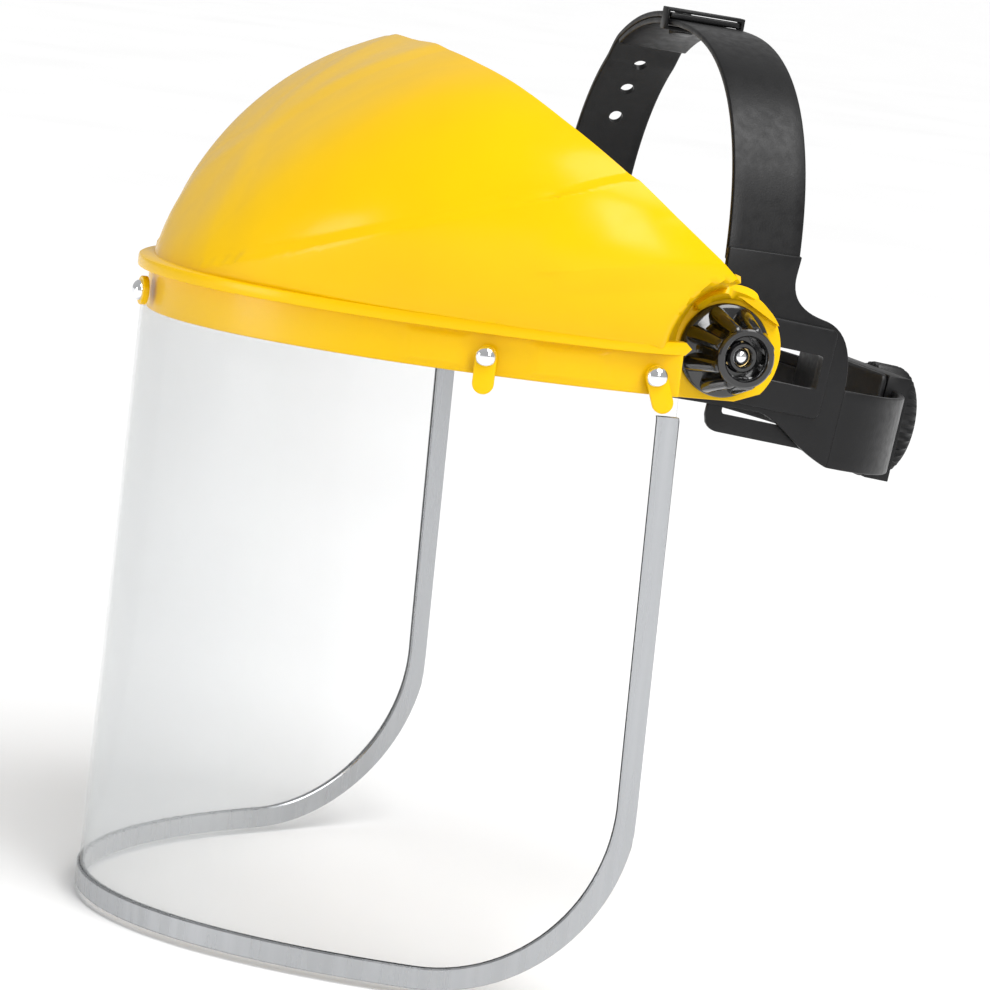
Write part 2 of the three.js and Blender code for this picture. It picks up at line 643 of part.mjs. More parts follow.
function pinionGeometry() {
  const shape = new THREE.Shape();
  for (let i = 0; i < pinion.teeth; i += 1) {
    const a = (2 * Math.PI * i) / pinion.teeth;
    const step = Math.PI / pinion.teeth;
    [[pinion.rootR, -0.62], [pinion.outerR, -0.24], [pinion.outerR, 0.24], [pinion.rootR, 0.62]].forEach(([r, f], k) => {
      const x = r * Math.cos(a + f * step);
      const y = r * Math.sin(a + f * step);
      if (i === 0 && k === 0) shape.moveTo(x, y);
      else shape.lineTo(x, y);
    });
  }
  shape.closePath();
  const teeth = plateXZ(shape, 4.4).translate(0, housing.frontY + housing.wall + gap, 0);
  const shaft = barY(3.2, housing.frontY + housing.wall + 1, sizeKnob.frontY + 5);
  return cut(join(teeth, shaft), barY(1.4, housing.frontY + 6, 120)).translate(0, 0, rearStrap.centreZ);
}

function housingGeometry() {
  const { halfX, halfZ, frontY, rearY, wall } = housing;
  const shell = boxAt(-halfX, halfX, frontY + wall + gap, rearY, -halfZ, halfZ);
  const channel = boxAt(-halfX - 5, halfX + 5, frontY, rearY - wall, -rack.width / 2 - 0.5, rack.width / 2 + 0.5);
  return cut(shell, channel, barY(3.2 + gap, 80, 100)).translate(0, 0, rearStrap.centreZ);
}

function coverGeometry() {
  const shape = new THREE.Shape();
  const r = 3;
  const { halfX, halfZ } = housing;
  shape.moveTo(-halfX + r, -halfZ);
  shape.lineTo(halfX - r, -halfZ);
  shape.quadraticCurveTo(halfX, -halfZ, halfX, -halfZ + r);
  shape.lineTo(halfX, halfZ - r);
  shape.quadraticCurveTo(halfX, halfZ, halfX - r, halfZ);
  shape.lineTo(-halfX + r, halfZ);
  shape.quadraticCurveTo(-halfX, halfZ, -halfX, halfZ - r);
  shape.lineTo(-halfX, -halfZ + r);
  shape.quadraticCurveTo(-halfX, -halfZ, -halfX + r, -halfZ);
  return plateXZ(shape, housing.wall).translate(0, housing.frontY, rearStrap.centreZ);
}

// The click ring: a flat ring with three springy arms that ride in the knob's inner teeth.
function clickGeometry() {
  const ring = cut(barY(8.5, 0, 2.2), barY(6, -1, 4));
  const arms = [0, 120, 240].map((a) => boxAt(-1, 7, 0, 2.2, 7.4, 9).rotateY(rad(a)));
  return join(ring, ...arms).translate(0, housing.rearY + gap, rearStrap.centreZ);
}

function sizeKnobGeometry() {
  const start = housing.rearY + 2 * gap;
  const end = sizeKnob.frontY + sizeKnob.depth;
  const shape = new THREE.Shape();
  for (let i = 0; i < sizeKnob.flutes * 2; i += 1) {
    const a = (Math.PI * i) / sizeKnob.flutes;
    const r = i % 2 ? sizeKnob.radius : sizeKnob.radius - 0.9;
    if (i === 0) shape.moveTo(r, 0);
    else shape.lineTo(r * Math.cos(a), r * Math.sin(a));
  }
  shape.closePath();
  const rim = plateXZ(shape, end - start - 1.5).translate(0, start, 0);
  const crownFace = lathe([[0, end - 4], [sizeKnob.radius - 1, end - 2], [sizeKnob.radius - 2.6, end], [0, end]], 40);
  const hollow = lathe([[0, start - 1], [12, start - 1], [12, start + 3.4], [0, start + 3.4]], 24);
  const shaftBore = barY(3.2 + gap, start, sizeKnob.frontY + 5 + gap);
  const screwBore = barY(1.7, start, end + 2, 12);
  const headBore = barY(3.6, end - 2.6, end + 2, 20);
  return cut(join(rim, crownFace), hollow, shaftBore, screwBore, headBore).translate(0, 0, rearStrap.centreZ);
}

function sizeScrewGeometry() {
  const end = sizeKnob.frontY + sizeKnob.depth;
  return lathe([
    [0, housing.frontY + 8], [1.1, housing.frontY + 8], [1.1, end - 2.3], [3.2, end - 2.3], [3.2, end - 1], [2.2, end - 0.3], [0, end - 0.3],
  ], 14).translate(0, 0, rearStrap.centreZ);
}

// ---- materials ----
const finish = (color, roughness, metalness = 0) => new THREE.MeshStandardMaterial({ color, roughness, metalness });
const yellowPlastic = finish(0xffcc00, 0.22);
const clearSheet = finish(0xe8eef0, 0.05);
clearSheet.transparent = true;
clearSheet.opacity = 0.25;
const aluminium = finish(0xb9bcc0, 0.35, 1);
const chrome = finish(0xd8dadd, 0.1, 1);
const steel = finish(0x9a9da1, 0.35, 1);
const brass = finish(0xc09a4a, 0.35, 1);
const blackMatte = finish(0x2a2a2b, 0.6);
const blackGloss = finish(0x111112, 0.15);
const foam = finish(0x303032, 0.95);
const nylon = finish(0xe6e2d8, 0.5);

// ---- assembly ----
const shield = new THREE.Group();
const headgear = new THREE.Group();
headgear.rotation.x = rad(gearPitch);
shield.add(headgear);

function place(parent, name, geometry, material) {
  const mesh = new THREE.Mesh(geometry, material);
  mesh.name = name;
  parent.add(mesh);
  return mesh;
}

place(shield, 'brow_guard', crownGeometry(), yellowPlastic);
place(shield, 'window', windowGeometry(), clearSheet);
place(shield, 'window_edging', edgingGeometry(), aluminium);

const sheetFace = windowSheet.thick / 2 + gap;
for (const [name, u] of studPlaces) {
  place(shield, name, onSheet(studGeometry(sheetFace + tab.thick + gap), u, studZ), chrome);
  if (u === 0) {
    const spacer = cut(barY(4.6, sheetFace, sheetFace + tab.thick), barY(stud.holeR, 0, 5));
    place(shield, 'stud_spacer_front', onSheet(spacer, u, studZ), yellowPlastic);
  } else {
    const swing = name.includes('rear') ? Math.sign(u) * tab.rearSwing : 0;
    place(shield, name.replace('stud', 'tab'), onSheet(tabGeometry(swing), u, studZ), yellowPlastic);
  }
}

// Bolts, blocks, washers and knobs share the lift axis; the blocks lie square to the headgear's slots.
for (const [name, turn] of [['left', -Math.PI / 2], ['right', Math.PI / 2]]) {
  place(shield, `knob_${name}`, knobGeometry().translate(0, knobStart, 0).rotateZ(turn), blackGloss);
  place(shield, `knob_nut_${name}`, nutGeometry().translate(0, knobStart, 0).rotateZ(turn), brass);
  place(shield, `friction_washer_${name}`, washerGeometry().rotateZ(turn), nylon);
  place(headgear, `pivot_bolt_${name}`, boltGeometry().rotateZ(turn), steel);
  place(headgear, `slide_block_${name}`, blockGeometry().rotateZ(turn), nylon);
}

place(headgear, 'headband', headbandGeometry(), blackMatte);
place(headgear, 'brow_pad', browPadGeometry(), foam);

const arch = new THREE.Group();
arch.rotation.set(rad(crownStrap.lean - gearPitch), rad(crownStrap.roll), 0);
arch.position.set(crownStrap.baseX, crownStrap.baseY, crownStrap.baseZ);
headgear.add(arch);
place(arch, 'crown_strap_left', crownStrapLeft(), blackMatte);
place(arch, 'crown_strap_right', crownStrapRight(), blackMatte);
place(arch, 'strap_peg', pegGeometry(), blackMatte);
place(arch, 'strap_keeper', keeperGeometry(), blackMatte);

place(headgear, 'rear_strap_left', rearStrapGeometry(), blackMatte);
place(headgear, 'rear_strap_right', mirrorX(rearStrapGeometry()), blackMatte);
place(headgear, 'tail_right_strap', tailGeometry(), blackMatte);
place(headgear, 'tail_left_strap', mirrorX(tailGeometry()), blackMatte);
const rackFront = housing.frontY + housing.wall + 2 * gap;
place(headgear, 'rack_right', rackGeometry(-1, rackFront), blackMatte);
place(headgear, 'rack_left', rackGeometry(1, rackFront + rack.thick + gap), blackMatte);
place(headgear, 'ratchet_pinion', pinionGeometry(), nylon);
place(headgear, 'ratchet_housing', housingGeometry(), blackMatte);
place(headgear, 'ratchet_cover', coverGeometry(), blackMatte);
place(headgear, 'ratchet_click', clickGeometry(), nylon);
place(headgear, 'size_knob', sizeKnobGeometry(), blackMatte);
place(headgear, 'size_knob_screw', sizeScrewGeometry(), steel);

export default shield;
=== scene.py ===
# Face shield: yellow brow guard, clear window with rolled metal edging, black headgear.
import math

import bpy
from mathutils import Matrix, Vector


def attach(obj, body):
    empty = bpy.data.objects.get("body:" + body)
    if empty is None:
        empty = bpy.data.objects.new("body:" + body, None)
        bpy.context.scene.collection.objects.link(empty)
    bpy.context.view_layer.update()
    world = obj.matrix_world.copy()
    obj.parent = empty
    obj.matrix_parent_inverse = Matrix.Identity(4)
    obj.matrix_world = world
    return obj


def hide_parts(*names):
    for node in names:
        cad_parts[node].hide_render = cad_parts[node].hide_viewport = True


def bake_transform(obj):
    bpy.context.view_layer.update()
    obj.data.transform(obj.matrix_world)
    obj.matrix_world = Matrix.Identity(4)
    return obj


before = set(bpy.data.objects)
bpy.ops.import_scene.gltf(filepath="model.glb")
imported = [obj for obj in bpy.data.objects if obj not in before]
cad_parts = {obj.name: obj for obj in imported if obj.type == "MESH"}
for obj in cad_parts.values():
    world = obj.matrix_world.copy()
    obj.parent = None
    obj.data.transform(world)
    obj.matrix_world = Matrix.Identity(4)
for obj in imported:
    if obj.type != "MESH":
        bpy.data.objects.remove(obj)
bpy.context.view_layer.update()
print("frame loaded")

mm = 0.001
headgear = {"pitch": -6.5, "half": 83.1, "inner": 82.0, "outer": 84.2, "face": 86.0,
            "frame": (-18, 38.6, -15.6, 13, 2.2), "slot": (-6.4, 35.4, -6.6, 4.2, 1.0)}


# Small helpers.
def deselectAll():
    if bpy.context.object and bpy.context.object.mode != "OBJECT":
        bpy.ops.object.mode_set(mode="OBJECT")
    bpy.ops.object.select_all(action="DESELECT")


def pickOnly(piece):
    deselectAll()
    piece.select_set(True)
    bpy.context.view_layer.objects.active = piece


def applyModifier(piece, kind, **values):
    pickOnly(piece)
    modifier = piece.modifiers.new(kind.title(), kind)
    for key, value in values.items():
        setattr(modifier, key, value)
    bpy.ops.object.modifier_apply(modifier=modifier.name)


def cleanMesh(piece, distance=0.00002):
    pickOnly(piece)
    bpy.ops.object.mode_set(mode="EDIT")
    bpy.ops.mesh.select_all(action="SELECT")
    bpy.ops.mesh.remove_doubles(threshold=distance)
    bpy.ops.mesh.normals_make_consistent(inside=False)
    bpy.ops.object.mode_set(mode="OBJECT")


def smoothShade(piece, degrees=35):
    pickOnly(piece)
    bpy.ops.object.shade_smooth_by_angle(angle=math.radians(degrees))


# A grid whose corners run from (0, 0) to (1, 1) is laid on the shape that place gives, in millimetres.
def laidGrid(name, across, along, place):
    deselectAll()
    bpy.ops.mesh.primitive_grid_add(x_subdivisions=across, y_subdivisions=along, size=2)
    piece = bpy.context.object
    piece.name = name
    for vertex in piece.data.vertices:
        a, b = (vertex.co.x + 1) / 2, (vertex.co.y + 1) / 2
        vertex.co = Vector(place(round(a * across) / across, round(b * along) / along)) * mm
    cleanMesh(piece)
    return piece


def easeEdges(piece, width, segments, degrees):
    applyModifier(piece, "BEVEL", width=width * mm, segments=segments,
                  limit_method="ANGLE", angle_limit=math.radians(degrees))


# A flat outline of (y, z) points becomes a plate between two x places.
def cutPlate(name, outline, fromX, toX, bevel=0.0, turn=None):
    deselectAll()
    bpy.ops.mesh.primitive_circle_add(vertices=len(outline), fill_type="NGON", radius=1)
    piece = bpy.context.object
    piece.name = name
    for vertex, (y, z) in zip(piece.data.vertices, outline):
        vertex.co = Vector((fromX, y, z)) * mm
    bpy.ops.object.mode_set(mode="EDIT")
    bpy.ops.mesh.select_all(action="SELECT")
    bpy.ops.mesh.extrude_region_move(TRANSFORM_OT_translate={"value": ((toX - fromX) * mm, 0, 0)})
    bpy.ops.object.mode_set(mode="OBJECT")
    if turn:
        for vertex in piece.data.vertices:
            vertex.co = Vector(turn(vertex.co / mm)) * mm
    cleanMesh(piece)
    if bevel:
        easeEdges(piece, bevel, 3, 40)
    return piece


# A profile of (radius, height) points is spun about its own axis; place turns it into the frame.
def spunPiece(name, profile, steps, place, flute=None):
    count = len(profile) - 1

    def at(a, b):
        radius, height = profile[round(b * count)]
        angle = 2 * math.pi * a
        if flute:
            radius *= flute(angle, height, radius)
        return place(radius * math.cos(angle), radius * math.sin(angle), height)

    return laidGrid(name, steps, count, at)


def cutAway(piece, *tools):
    for tool in tools:
        applyModifier(piece, "BOOLEAN", operation="DIFFERENCE", solver="EXACT", object=tool)
        bpy.data.objects.remove(tool)


def joined(name, pieces):
    deselectAll()
    for piece in pieces:
        piece.select_set(True)
    bpy.context.view_layer.objects.active = pieces[0]
    bpy.ops.object.join()
    pieces[0].name = name
    return pieces[0]


def paint(piece, material):
    piece.data.materials.clear()
    piece.data.materials.append(material)


def settle(piece, body, material, slotName, *nodes):
    paint(piece, material)
    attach(piece, body)
    if nodes:
        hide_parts(*nodes)


# A merged copy of a frame node with its edges eased.
def easedCopy(node, name, bevel, material, slotName, body):
    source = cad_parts[node]
    piece = bpy.data.objects.new(name, source.data.copy())
    bpy.context.collection.objects.link(piece)
    cleanMesh(piece)
    pickOnly(piece)
    bpy.ops.object.mode_set(mode="EDIT")
    bpy.ops.mesh.select_all(action="SELECT")
    bpy.ops.mesh.dissolve_limited(angle_limit=math.radians(4))
    bpy.ops.object.mode_set(mode="OBJECT")
    easeEdges(piece, bevel, 2, 35)
    smoothShade(piece, 30)
    settle(piece, body, material, slotName, node)
    return piece


def fromHeadgear(point):
    lean = math.radians(headgear["pitch"])
    x, y, z = point
    return (x, y * math.cos(lean) - z * math.sin(lean), y * math.sin(lean) + z * math.cos(lean))


def measuredCurve(place, steps=1400):
    points = [Vector(place(i / steps)) for i in range(steps + 1)]
    lengths = [0.0]
    for before, after in zip(points, points[1:]):
        lengths.append(lengths[-1] + (after - before).length)

    def at(distance):
        distance = min(max(distance, 0), lengths[-1])
        low, high = 0, steps
        while high - low > 1:
            middle = (low + high) // 2
            if lengths[middle] > distance:
                high = middle
            else:
                low = middle
        share = (distance - lengths[low]) / (lengths[high] - lengths[low])
        tangent = (points[min(high + 2, steps)] - points[max(low - 2, 0)]).normalized()
        return points[low].lerp(points[high], share), tangent

    return lengths[-1], at


def signedPower(value, exponent):
    return math.copysign(abs(value) ** exponent, value)


# Materials.
def blankMaterial(name):
    material = bpy.data.materials.new(name)
    material.use_nodes = True
    nodes = material.node_tree.nodes
    shader = nodes["Principled BSDF"]
    coords = nodes.new("ShaderNodeTexCoord")
    return material, nodes, material.node_tree.links, shader, coords


def addNoise(nodes, links, coords, scale, detail=4, stretch=(1, 1, 1)):
    mapping = nodes.new("ShaderNodeMapping")
    mapping.inputs["Scale"].default_value = stretch
    links.new(coords.outputs["Object"], mapping.inputs["Vector"])
    noise = nodes.new("ShaderNodeTexNoise")
    noise.inputs["Scale"].default_value = scale
    noise.inputs["Detail"].default_value = detail
    links.new(mapping.outputs["Vector"], noise.inputs["Vector"])
    return noise


def spread(nodes, links, source, low, high):
    span = nodes.new("ShaderNodeMapRange")
    span.inputs["From Min"].default_value = 0.3
    span.inputs["From Max"].default_value = 0.7
    span.inputs["To Min"].default_value = low
    span.inputs["To Max"].default_value = high
    links.new(source, span.inputs["Value"])
    return span.outputs["Result"]


def mouldedPlastic(name, dark, light, rough, grain, depth, coat=0.0, specular=0.5, mottleScale=18):
    material, nodes, links, shader, coords = blankMaterial(name)
    mottle = addNoise(nodes, links, coords, mottleScale, 5)
    ramp = nodes.new("ShaderNodeValToRGB")
    ramp.color_ramp.elements[0].position = 0.3
    ramp.color_ramp.elements[0].color = (*dark, 1)
    ramp.color_ramp.elements[1].position = 0.7
    ramp.color_ramp.elements[1].color = (*light, 1)
    links.new(mottle.outputs["Fac"], ramp.inputs["Fac"])
    links.new(ramp.outputs["Color"], shader.inputs["Base Color"])
    scuff = addNoise(nodes, links, coords, mottleScale * 9, 6)
    links.new(spread(nodes, links, scuff.outputs["Fac"], rough * 0.82, rough * 1.2), shader.inputs["Roughness"])
    peel = addNoise(nodes, links, coords, grain, 2)
    bump = nodes.new("ShaderNodeBump")
    bump.inputs["Strength"].default_value = 1.0
    bump.inputs["Distance"].default_value = depth
    links.new(peel.outputs["Fac"], bump.inputs["Height"])
    links.new(bump.outputs["Normal"], shader.inputs["Normal"])
    shader.inputs["Coat Weight"].default_value = coat
    shader.inputs["Coat Roughness"].default_value = 0.08
    shader.inputs["Specular IOR Level"].default_value = specular
    return material


def workedMetal(name, tone, rough, stretch, scale, depth):
    material, nodes, links, shader, coords = blankMaterial(name)
    streak = addNoise(nodes, links, coords, scale, 6, stretch)
    ramp = nodes.new("ShaderNodeValToRGB")
    ramp.color_ramp.elements[0].position = 0.3
    ramp.color_ramp.elements[0].color = (*[c * 0.86 for c in tone], 1)
    ramp.color_ramp.elements[1].position = 0.7
    ramp.color_ramp.elements[1].color = (*tone, 1)
    links.new(streak.outputs["Fac"], ramp.inputs["Fac"])
    links.new(ramp.outputs["Color"], shader.inputs["Base Color"])
    links.new(spread(nodes, links, streak.outputs["Fac"], rough * 0.75, rough * 1.3), shader.inputs["Roughness"])
    bump = nodes.new("ShaderNodeBump")
    bump.inputs["Distance"].default_value = depth
    links.new(streak.outputs["Fac"], bump.inputs["Height"])
    links.new(bump.outputs["Normal"], shader.inputs["Normal"])
    shader.inputs["Metallic"].default_value = 1.0
    return material


def clearSheetMaterial():
    material, nodes, links, shader, coords = blankMaterial("clear polycarbonate")
    facing = nodes.new("ShaderNodeLayerWeight")
    facing.inputs["Blend"].default_value = 0.5
    haze = nodes.new("ShaderNodeValToRGB")
    haze.color_ramp.elements[0].position = 0.06
    haze.color_ramp.elements[0].color = (0.02, 0.02, 0.02, 1)
    haze.color_ramp.elements[1].position = 0.2
    haze.color_ramp.elements[1].color = (0.2, 0.2, 0.2, 1)
    thickEdge = haze.color_ramp.elements.new(0.9)
    thickEdge.color = (0.4, 0.4, 0.4, 1)
    links.new(facing.outputs["Facing"], haze.inputs["Fac"])
    split = nodes.new("ShaderNodeSeparateXYZ")
    links.new(coords.outputs["Object"], split.inputs["Vector"])
    overBand = nodes.new("ShaderNodeMapRange")
    overBand.inputs["From Min"].default_value = -0.0145
    overBand.inputs["From Max"].default_value = -0.0125
    overBand.inputs["To Min"].default_value = 1.0
    overBand.inputs["To Max"].default_value = 0.1
    links.new(split.outputs["Z"], overBand.inputs["Value"])
    thinned = nodes.new("ShaderNodeMath")
    thinned.operation = "MULTIPLY"
    links.new(haze.outputs["Color"], thinned.inputs[0])
    links.new(overBand.outputs["Result"], thinned.inputs[1])
    links.new(thinned.outputs["Value"], shader.inputs["Alpha"])
    wave = addNoise(nodes, links, coords, 9, 2)
    links.new(spread(nodes, links, wave.outputs["Fac"], 0.03, 0.07), shader.inputs["Roughness"])
    shader.inputs["Base Color"].default_value = (0.62, 0.64, 0.65, 1)
    shader.inputs["Specular IOR Level"].default_value = 0.6
    return material


def terryCloth():
    material, nodes, links, shader, coords = blankMaterial("sweatband cloth")
    loopsAndGapShade = nodes.new("ShaderNodeTexVoronoi")
    loopsAndGapShade.inputs["Scale"].default_value = 900
    links.new(coords.outputs["Object"], loopsAndGapShade.inputs["Vector"])
    # Painted shade: the cloth colour follows the loop pattern, darker in the low gaps between the loops than on the
    # loop tops.
    ramp = nodes.new("ShaderNodeValToRGB")
    ramp.color_ramp.elements[0].color = (0.035, 0.035, 0.038, 1)
    ramp.color_ramp.elements[1].color = (0.012, 0.012, 0.013, 1)
    links.new(loopsAndGapShade.outputs["Distance"], ramp.inputs["Fac"])
    links.new(ramp.outputs["Color"], shader.inputs["Base Color"])
    bump = nodes.new("ShaderNodeBump")
    bump.inputs["Distance"].default_value = 0.0004
    bump.invert = True
    links.new(loopsAndGapShade.outputs["Distance"], bump.inputs["Height"])
    links.new(bump.outputs["Normal"], shader.inputs["Normal"])
    shader.inputs["Roughness"].default_value = 0.95
    shader.inputs["Sheen Weight"].default_value = 0.4
    return material


yellowShell = mouldedPlastic("yellow shell", (0.76, 0.455, 0.0), (0.82, 0.495, 0.0), 0.22, 700, 0.000003, 0, 0.16)
blackSatin = mouldedPlastic(
    "black satin", (0.0045, 0.0045, 0.005), (0.008, 0.008, 0.0085), 0.38, 1500, 0.00003, 0, 0.26, 40)
blackGloss = mouldedPlastic(
    "black gloss", (0.006, 0.006, 0.006), (0.010, 0.010, 0.011), 0.14, 500, 0.00001, 0.6, 0.5, 60)
naturalNylon = mouldedPlastic(
    "natural nylon", (0.70, 0.67, 0.58), (0.78, 0.75, 0.66), 0.45, 1200, 0.00003, 0, 0.4, 60)
rolledAluminium = workedMetal("rolled aluminium", (0.43, 0.44, 0.455), 0.28, (1, 1, 0.06), 260, 0.00003)
polishedChrome = workedMetal("polished chrome", (0.90, 0.91, 0.93), 0.09, (1, 1, 1), 300, 0.000005)
zincSteel = workedMetal("zinc steel", (0.70, 0.71, 0.73), 0.28, (1, 1, 1), 500, 0.00002)
turnedBrass = workedMetal("turned brass", (0.80, 0.58, 0.25), 0.28, (0.05, 1, 1), 900, 0.00002)
clearSheet = clearSheetMaterial()
sweatCloth = terryCloth()
print("materials ready")

# Window.
window = {
    "half": 114.0, "depth": 142.2, "across": 2.0, "forward": 1.56, "rear": -18.0, "top": -0.8, "height": 202.0,
    "thick": 1.0, "corner": 62.0, "taper": 3.8, "middleSteps": 150, "cornerSteps": 26,
}
edging = {"width": 6.0, "lip": 1.0, "half": 1.3, "slot": 0.62, "start": 18.2}


def windowPlan(share):
    t = math.pi * share
    return (window["half"] * signedPower(math.cos(t), 2 / window["across"]),
            window["rear"] - window["depth"] * math.sin(t) ** (2 / window["forward"]))


planLength, planAtDistance = measuredCurve(windowPlan)
sheetEdge = planLength / 2


def planAt(u):
    point, tangent = planAtDistance(planLength / 2 - u)
    return point, Vector((-tangent.y, tangent.x))


def sheetPoint(u, drop, offset):
    point, normal = planAt(u)
    return (point.x + normal.x * offset, point.y + normal.y * offset, window["top"] - drop)


def sheetColumns(inset):
    radius, columns = window["corner"], []
    for i in range(window["cornerSteps"]):
        angle = math.pi / 2 * i / window["cornerSteps"]
        columns.append((-(sheetEdge - radius) - (radius - inset) * math.cos(angle),
                        window["height"] - radius + (radius - inset) * math.sin(angle)))
    for i in range(window["middleSteps"] + 1):
        columns.append(((sheetEdge - radius) * (2 * i / window["middleSteps"] - 1), window["height"] - inset))
    return columns + [(-u, drop) for u, drop in reversed(columns[:window["cornerSteps"]])]


def edgeLean(drop):
    return window["taper"] * max(0, 1 - drop / (window["height"] - window["corner"]))


def buildWindow():
    columns = sheetColumns(0)
    count, rows = len(columns) - 1, 10
    topShare = 1 - 2 * edgeLean(0) / planLength

    def place(a, b):
        u, drop = columns[round(a * count)]
        return sheetPoint(u * (topShare + (1 - topShare) * b), drop * b, 0)

    sheet = laidGrid("windowSheet", count, rows, place)
    applyModifier(sheet, "SOLIDIFY", thickness=window["thick"] * mm, offset=0)
    smoothShade(sheet, 40)
    settle(sheet, "visor", clearSheet, "clear_sheet", "window")

    half, lip, width, slot = edging["half"], edging["lip"], edging["width"], edging["slot"]
    section = [(-lip + 0.5, -half), (width - 0.4, -half), (width, -half + 0.35), (width, -slot),
               (0.2, -slot), (0.2, slot), (width, slot), (width, half - 0.35), (width - 0.4, half), (-lip + 0.5, half),
               (-lip + 0.12, half * 0.7), (-lip, 0.3), (-lip, -0.3), (-lip + 0.12, -half * 0.7)]
    rims = []
    for inset, _ in section:
        edge = sheetEdge - inset
        start = edge - edgeLean(edging["start"])
        lead = [(-start + 0.2, edging["start"] + 0.2), (-start, edging["start"] + 1.2)]
        rims.append([(-start + 0.8, edging["start"])] + lead + sheetColumns(inset)
                    + [(-u, drop) for u, drop in reversed(lead)] + [(start - 0.8, edging["start"])])
    stations, sides = len(rims[0]) - 1, len(section)

    def rimPlace(a, b):
        k = round(b * sides) % sides
        i = round(a * stations)
        u, drop = rims[k][i]
        if i in (0, stations):
            u = math.copysign(sheetEdge - edgeLean(edging["start"]) - edging["width"] / 2, u)
            return sheetPoint(u, drop, 0)
        return sheetPoint(u, drop, section[k][1])

    rim = laidGrid("windowEdging", stations, sides, rimPlace)
    smoothShade(rim, 30)
    settle(rim, "visor", rolledAluminium, "aluminium", "window_edging")


buildWindow()
print("window ready")

# Brow guard.
dome = {
    "fanY": 20.0, "fanZ": 1.5, "fanAngle": 37.7, "wall": 2.2, "baseReach": 178.0, "rimReach": 129.5,
    "baseHalf": 116.0, "rimHalf": 121.0, "bulge": 3.0, "baseForward": 1.56, "baseAcross": 2.0,
    "rimExponent": 2.66, "exponentBulge": 0.5, "baseSide": 38.0, "rimSide": 33.0, "columns": 360, "rows": 76,
}
ear = {"inner": 87.8, "outer": 90.3, "radius": 19.3, "footFront": 15.7, "footRear": 19.0, "share": 0.15,
       "rimAngle": 28.0, "bottom": -15.8, "frontSlope": 2.0, "rimSlope": 3.2, "lipSlope": 1.8, "soft": 4.0}
bandStrip = {"thick": 2.2, "offset": -0.8, "top": 2.4, "bottom": -13.2}
flange = {"bottom": -0.5, "top": 3.4, "inset": 5.0, "lip": 2.6, "tuck": 16.0}
creases = [  # height, reach below and above, softness, then the line it follows on the wearer's left
    {"height": 1.3, "below": 30, "above": 3.0, "soft": 0.3,
     "line": [(48, -142, 10.5), (55, -138.5, 12.3), (83.4, -117.5, 23), (98.3, -100, 31),
              (107.7, -83, 38), (115, -68, 44), (115, -44, 51)]},
    {"height": 1.2, "below": 8, "above": 14, "soft": 0.8,
     "line": [(119.5, -61, 21.5), (122, -40, 26), (121, -16, 29.5)]},
    {"height": 0.7, "below": 10, "above": 18, "soft": 1.5,
     "line": [(24, -80, 82), (22, -87, 79), (12, -108, 66), (4, -124, 53), (2, -131, 44),
              (20, -140, 32), (32, -153, 8)]},
    {"height": 0.8, "below": 24, "above": 20, "soft": 4.0,
     "line": [(79, -78, 71), (66, -96, 67), (57, -118.5, 51), (40.5, -138, 30)]},
]


# Near each ear the side of the dome leans in towards the ear plate, clear of the knob.
def waisted(point, k):
    foot = ear["footFront"] + (ear["footRear"] - ear["footFront"]) * k
    away = max(0, math.hypot(point.y, point.z) - foot)
    slope = ear["frontSlope"] + (ear["rimSlope"] - ear["frontSlope"]) * k
    slope += ear["lipSlope"] * max(0, (k - 0.7) / 0.3) ** 2
    limit = ear["outer"] + slope * away
    soft, width = min(ear["soft"], away) + 0.000001, abs(point.x)
    share = min(max(0.5 + (limit - width) / (2 * soft), 0), 1)
    point.x = math.copysign(limit + (width - limit) * share - soft * share * (1 - share), point.x)
    return point


def domePoint(k, s):
    angle = math.radians(dome["fanAngle"] * k)
    hump = 4 * k * (1 - k)

    def between(start, end):
        return start + (end - start) * k

    half = between(dome["baseHalf"], dome["rimHalf"]) + hump * dome["bulge"]
    forward = between(dome["baseForward"], dome["rimExponent"]) + hump * dome["exponentBulge"]
    crosswise = between(dome["baseAcross"], dome["rimExponent"]) + hump * dome["exponentBulge"]
    reach = between(dome["baseReach"], dome["rimReach"])
    sideReach = between(dome["baseSide"], dome["rimSide"])
    sign, across, earShare = (1 if s >= 0 else -1), abs(s), ear["share"]

    def onFan(x, r):
        return Vector((x, dome["fanY"] - r * math.cos(angle), dome["fanZ"] + r * math.sin(angle)))

    if across <= 1 - earShare:
        t = math.pi / 2 * (1 - across / (1 - earShare))
        x = sign * half * abs(math.cos(t)) ** (2 / crosswise)
        return waisted(onFan(x, sideReach + (reach - sideReach) * math.sin(t) ** (2 / forward)), k)
    t = (1 - across) / earShare
    footAngle = math.radians(180 - (180 - ear["rimAngle"]) * k)
    footRadius = ear["footFront"] + (ear["footRear"] - ear["footFront"]) * k
    foot = Vector((0, footRadius * math.cos(footAngle), footRadius * math.sin(footAngle) + dome["fanZ"] * (1 - k)))
    point = foot.lerp(onFan(0, sideReach), t)
    point.x = sign * (ear["outer"] + (half - ear["outer"]) * max(0, 1 - (1 - t) ** 2) ** 1.3)
    return waisted(point, k)


def creaseShare(point, outward, crease):
    best, above = 1e9, False
    direction = 1 if crease["line"][-1][1] > crease["line"][0][1] else -1
    for start, end in zip(crease["line"], crease["line"][1:]):
        a, b = Vector(start), Vector(end)
        run = b - a
        share = min(max((point - a).dot(run) / run.length_squared, 0), 1)
        away = point - a - run * share
        if away.length < best:
            best, above = away.length, away.dot(outward.cross(run)) * direction > 0
    reach = crease["above"] if above else crease["below"]
    return max(0, 1 - math.sqrt(best ** 2 + crease["soft"] ** 2) / reach)


def creaseLift(point, outward):
    side = 1 if point.x >= 0 else -1
    folded, facing = Vector((abs(point.x), point.y, point.z)), Vector((outward.x * side, outward.y, outward.z))
    return sum(crease["height"] * creaseShare(folded, facing, crease) for crease in creases)


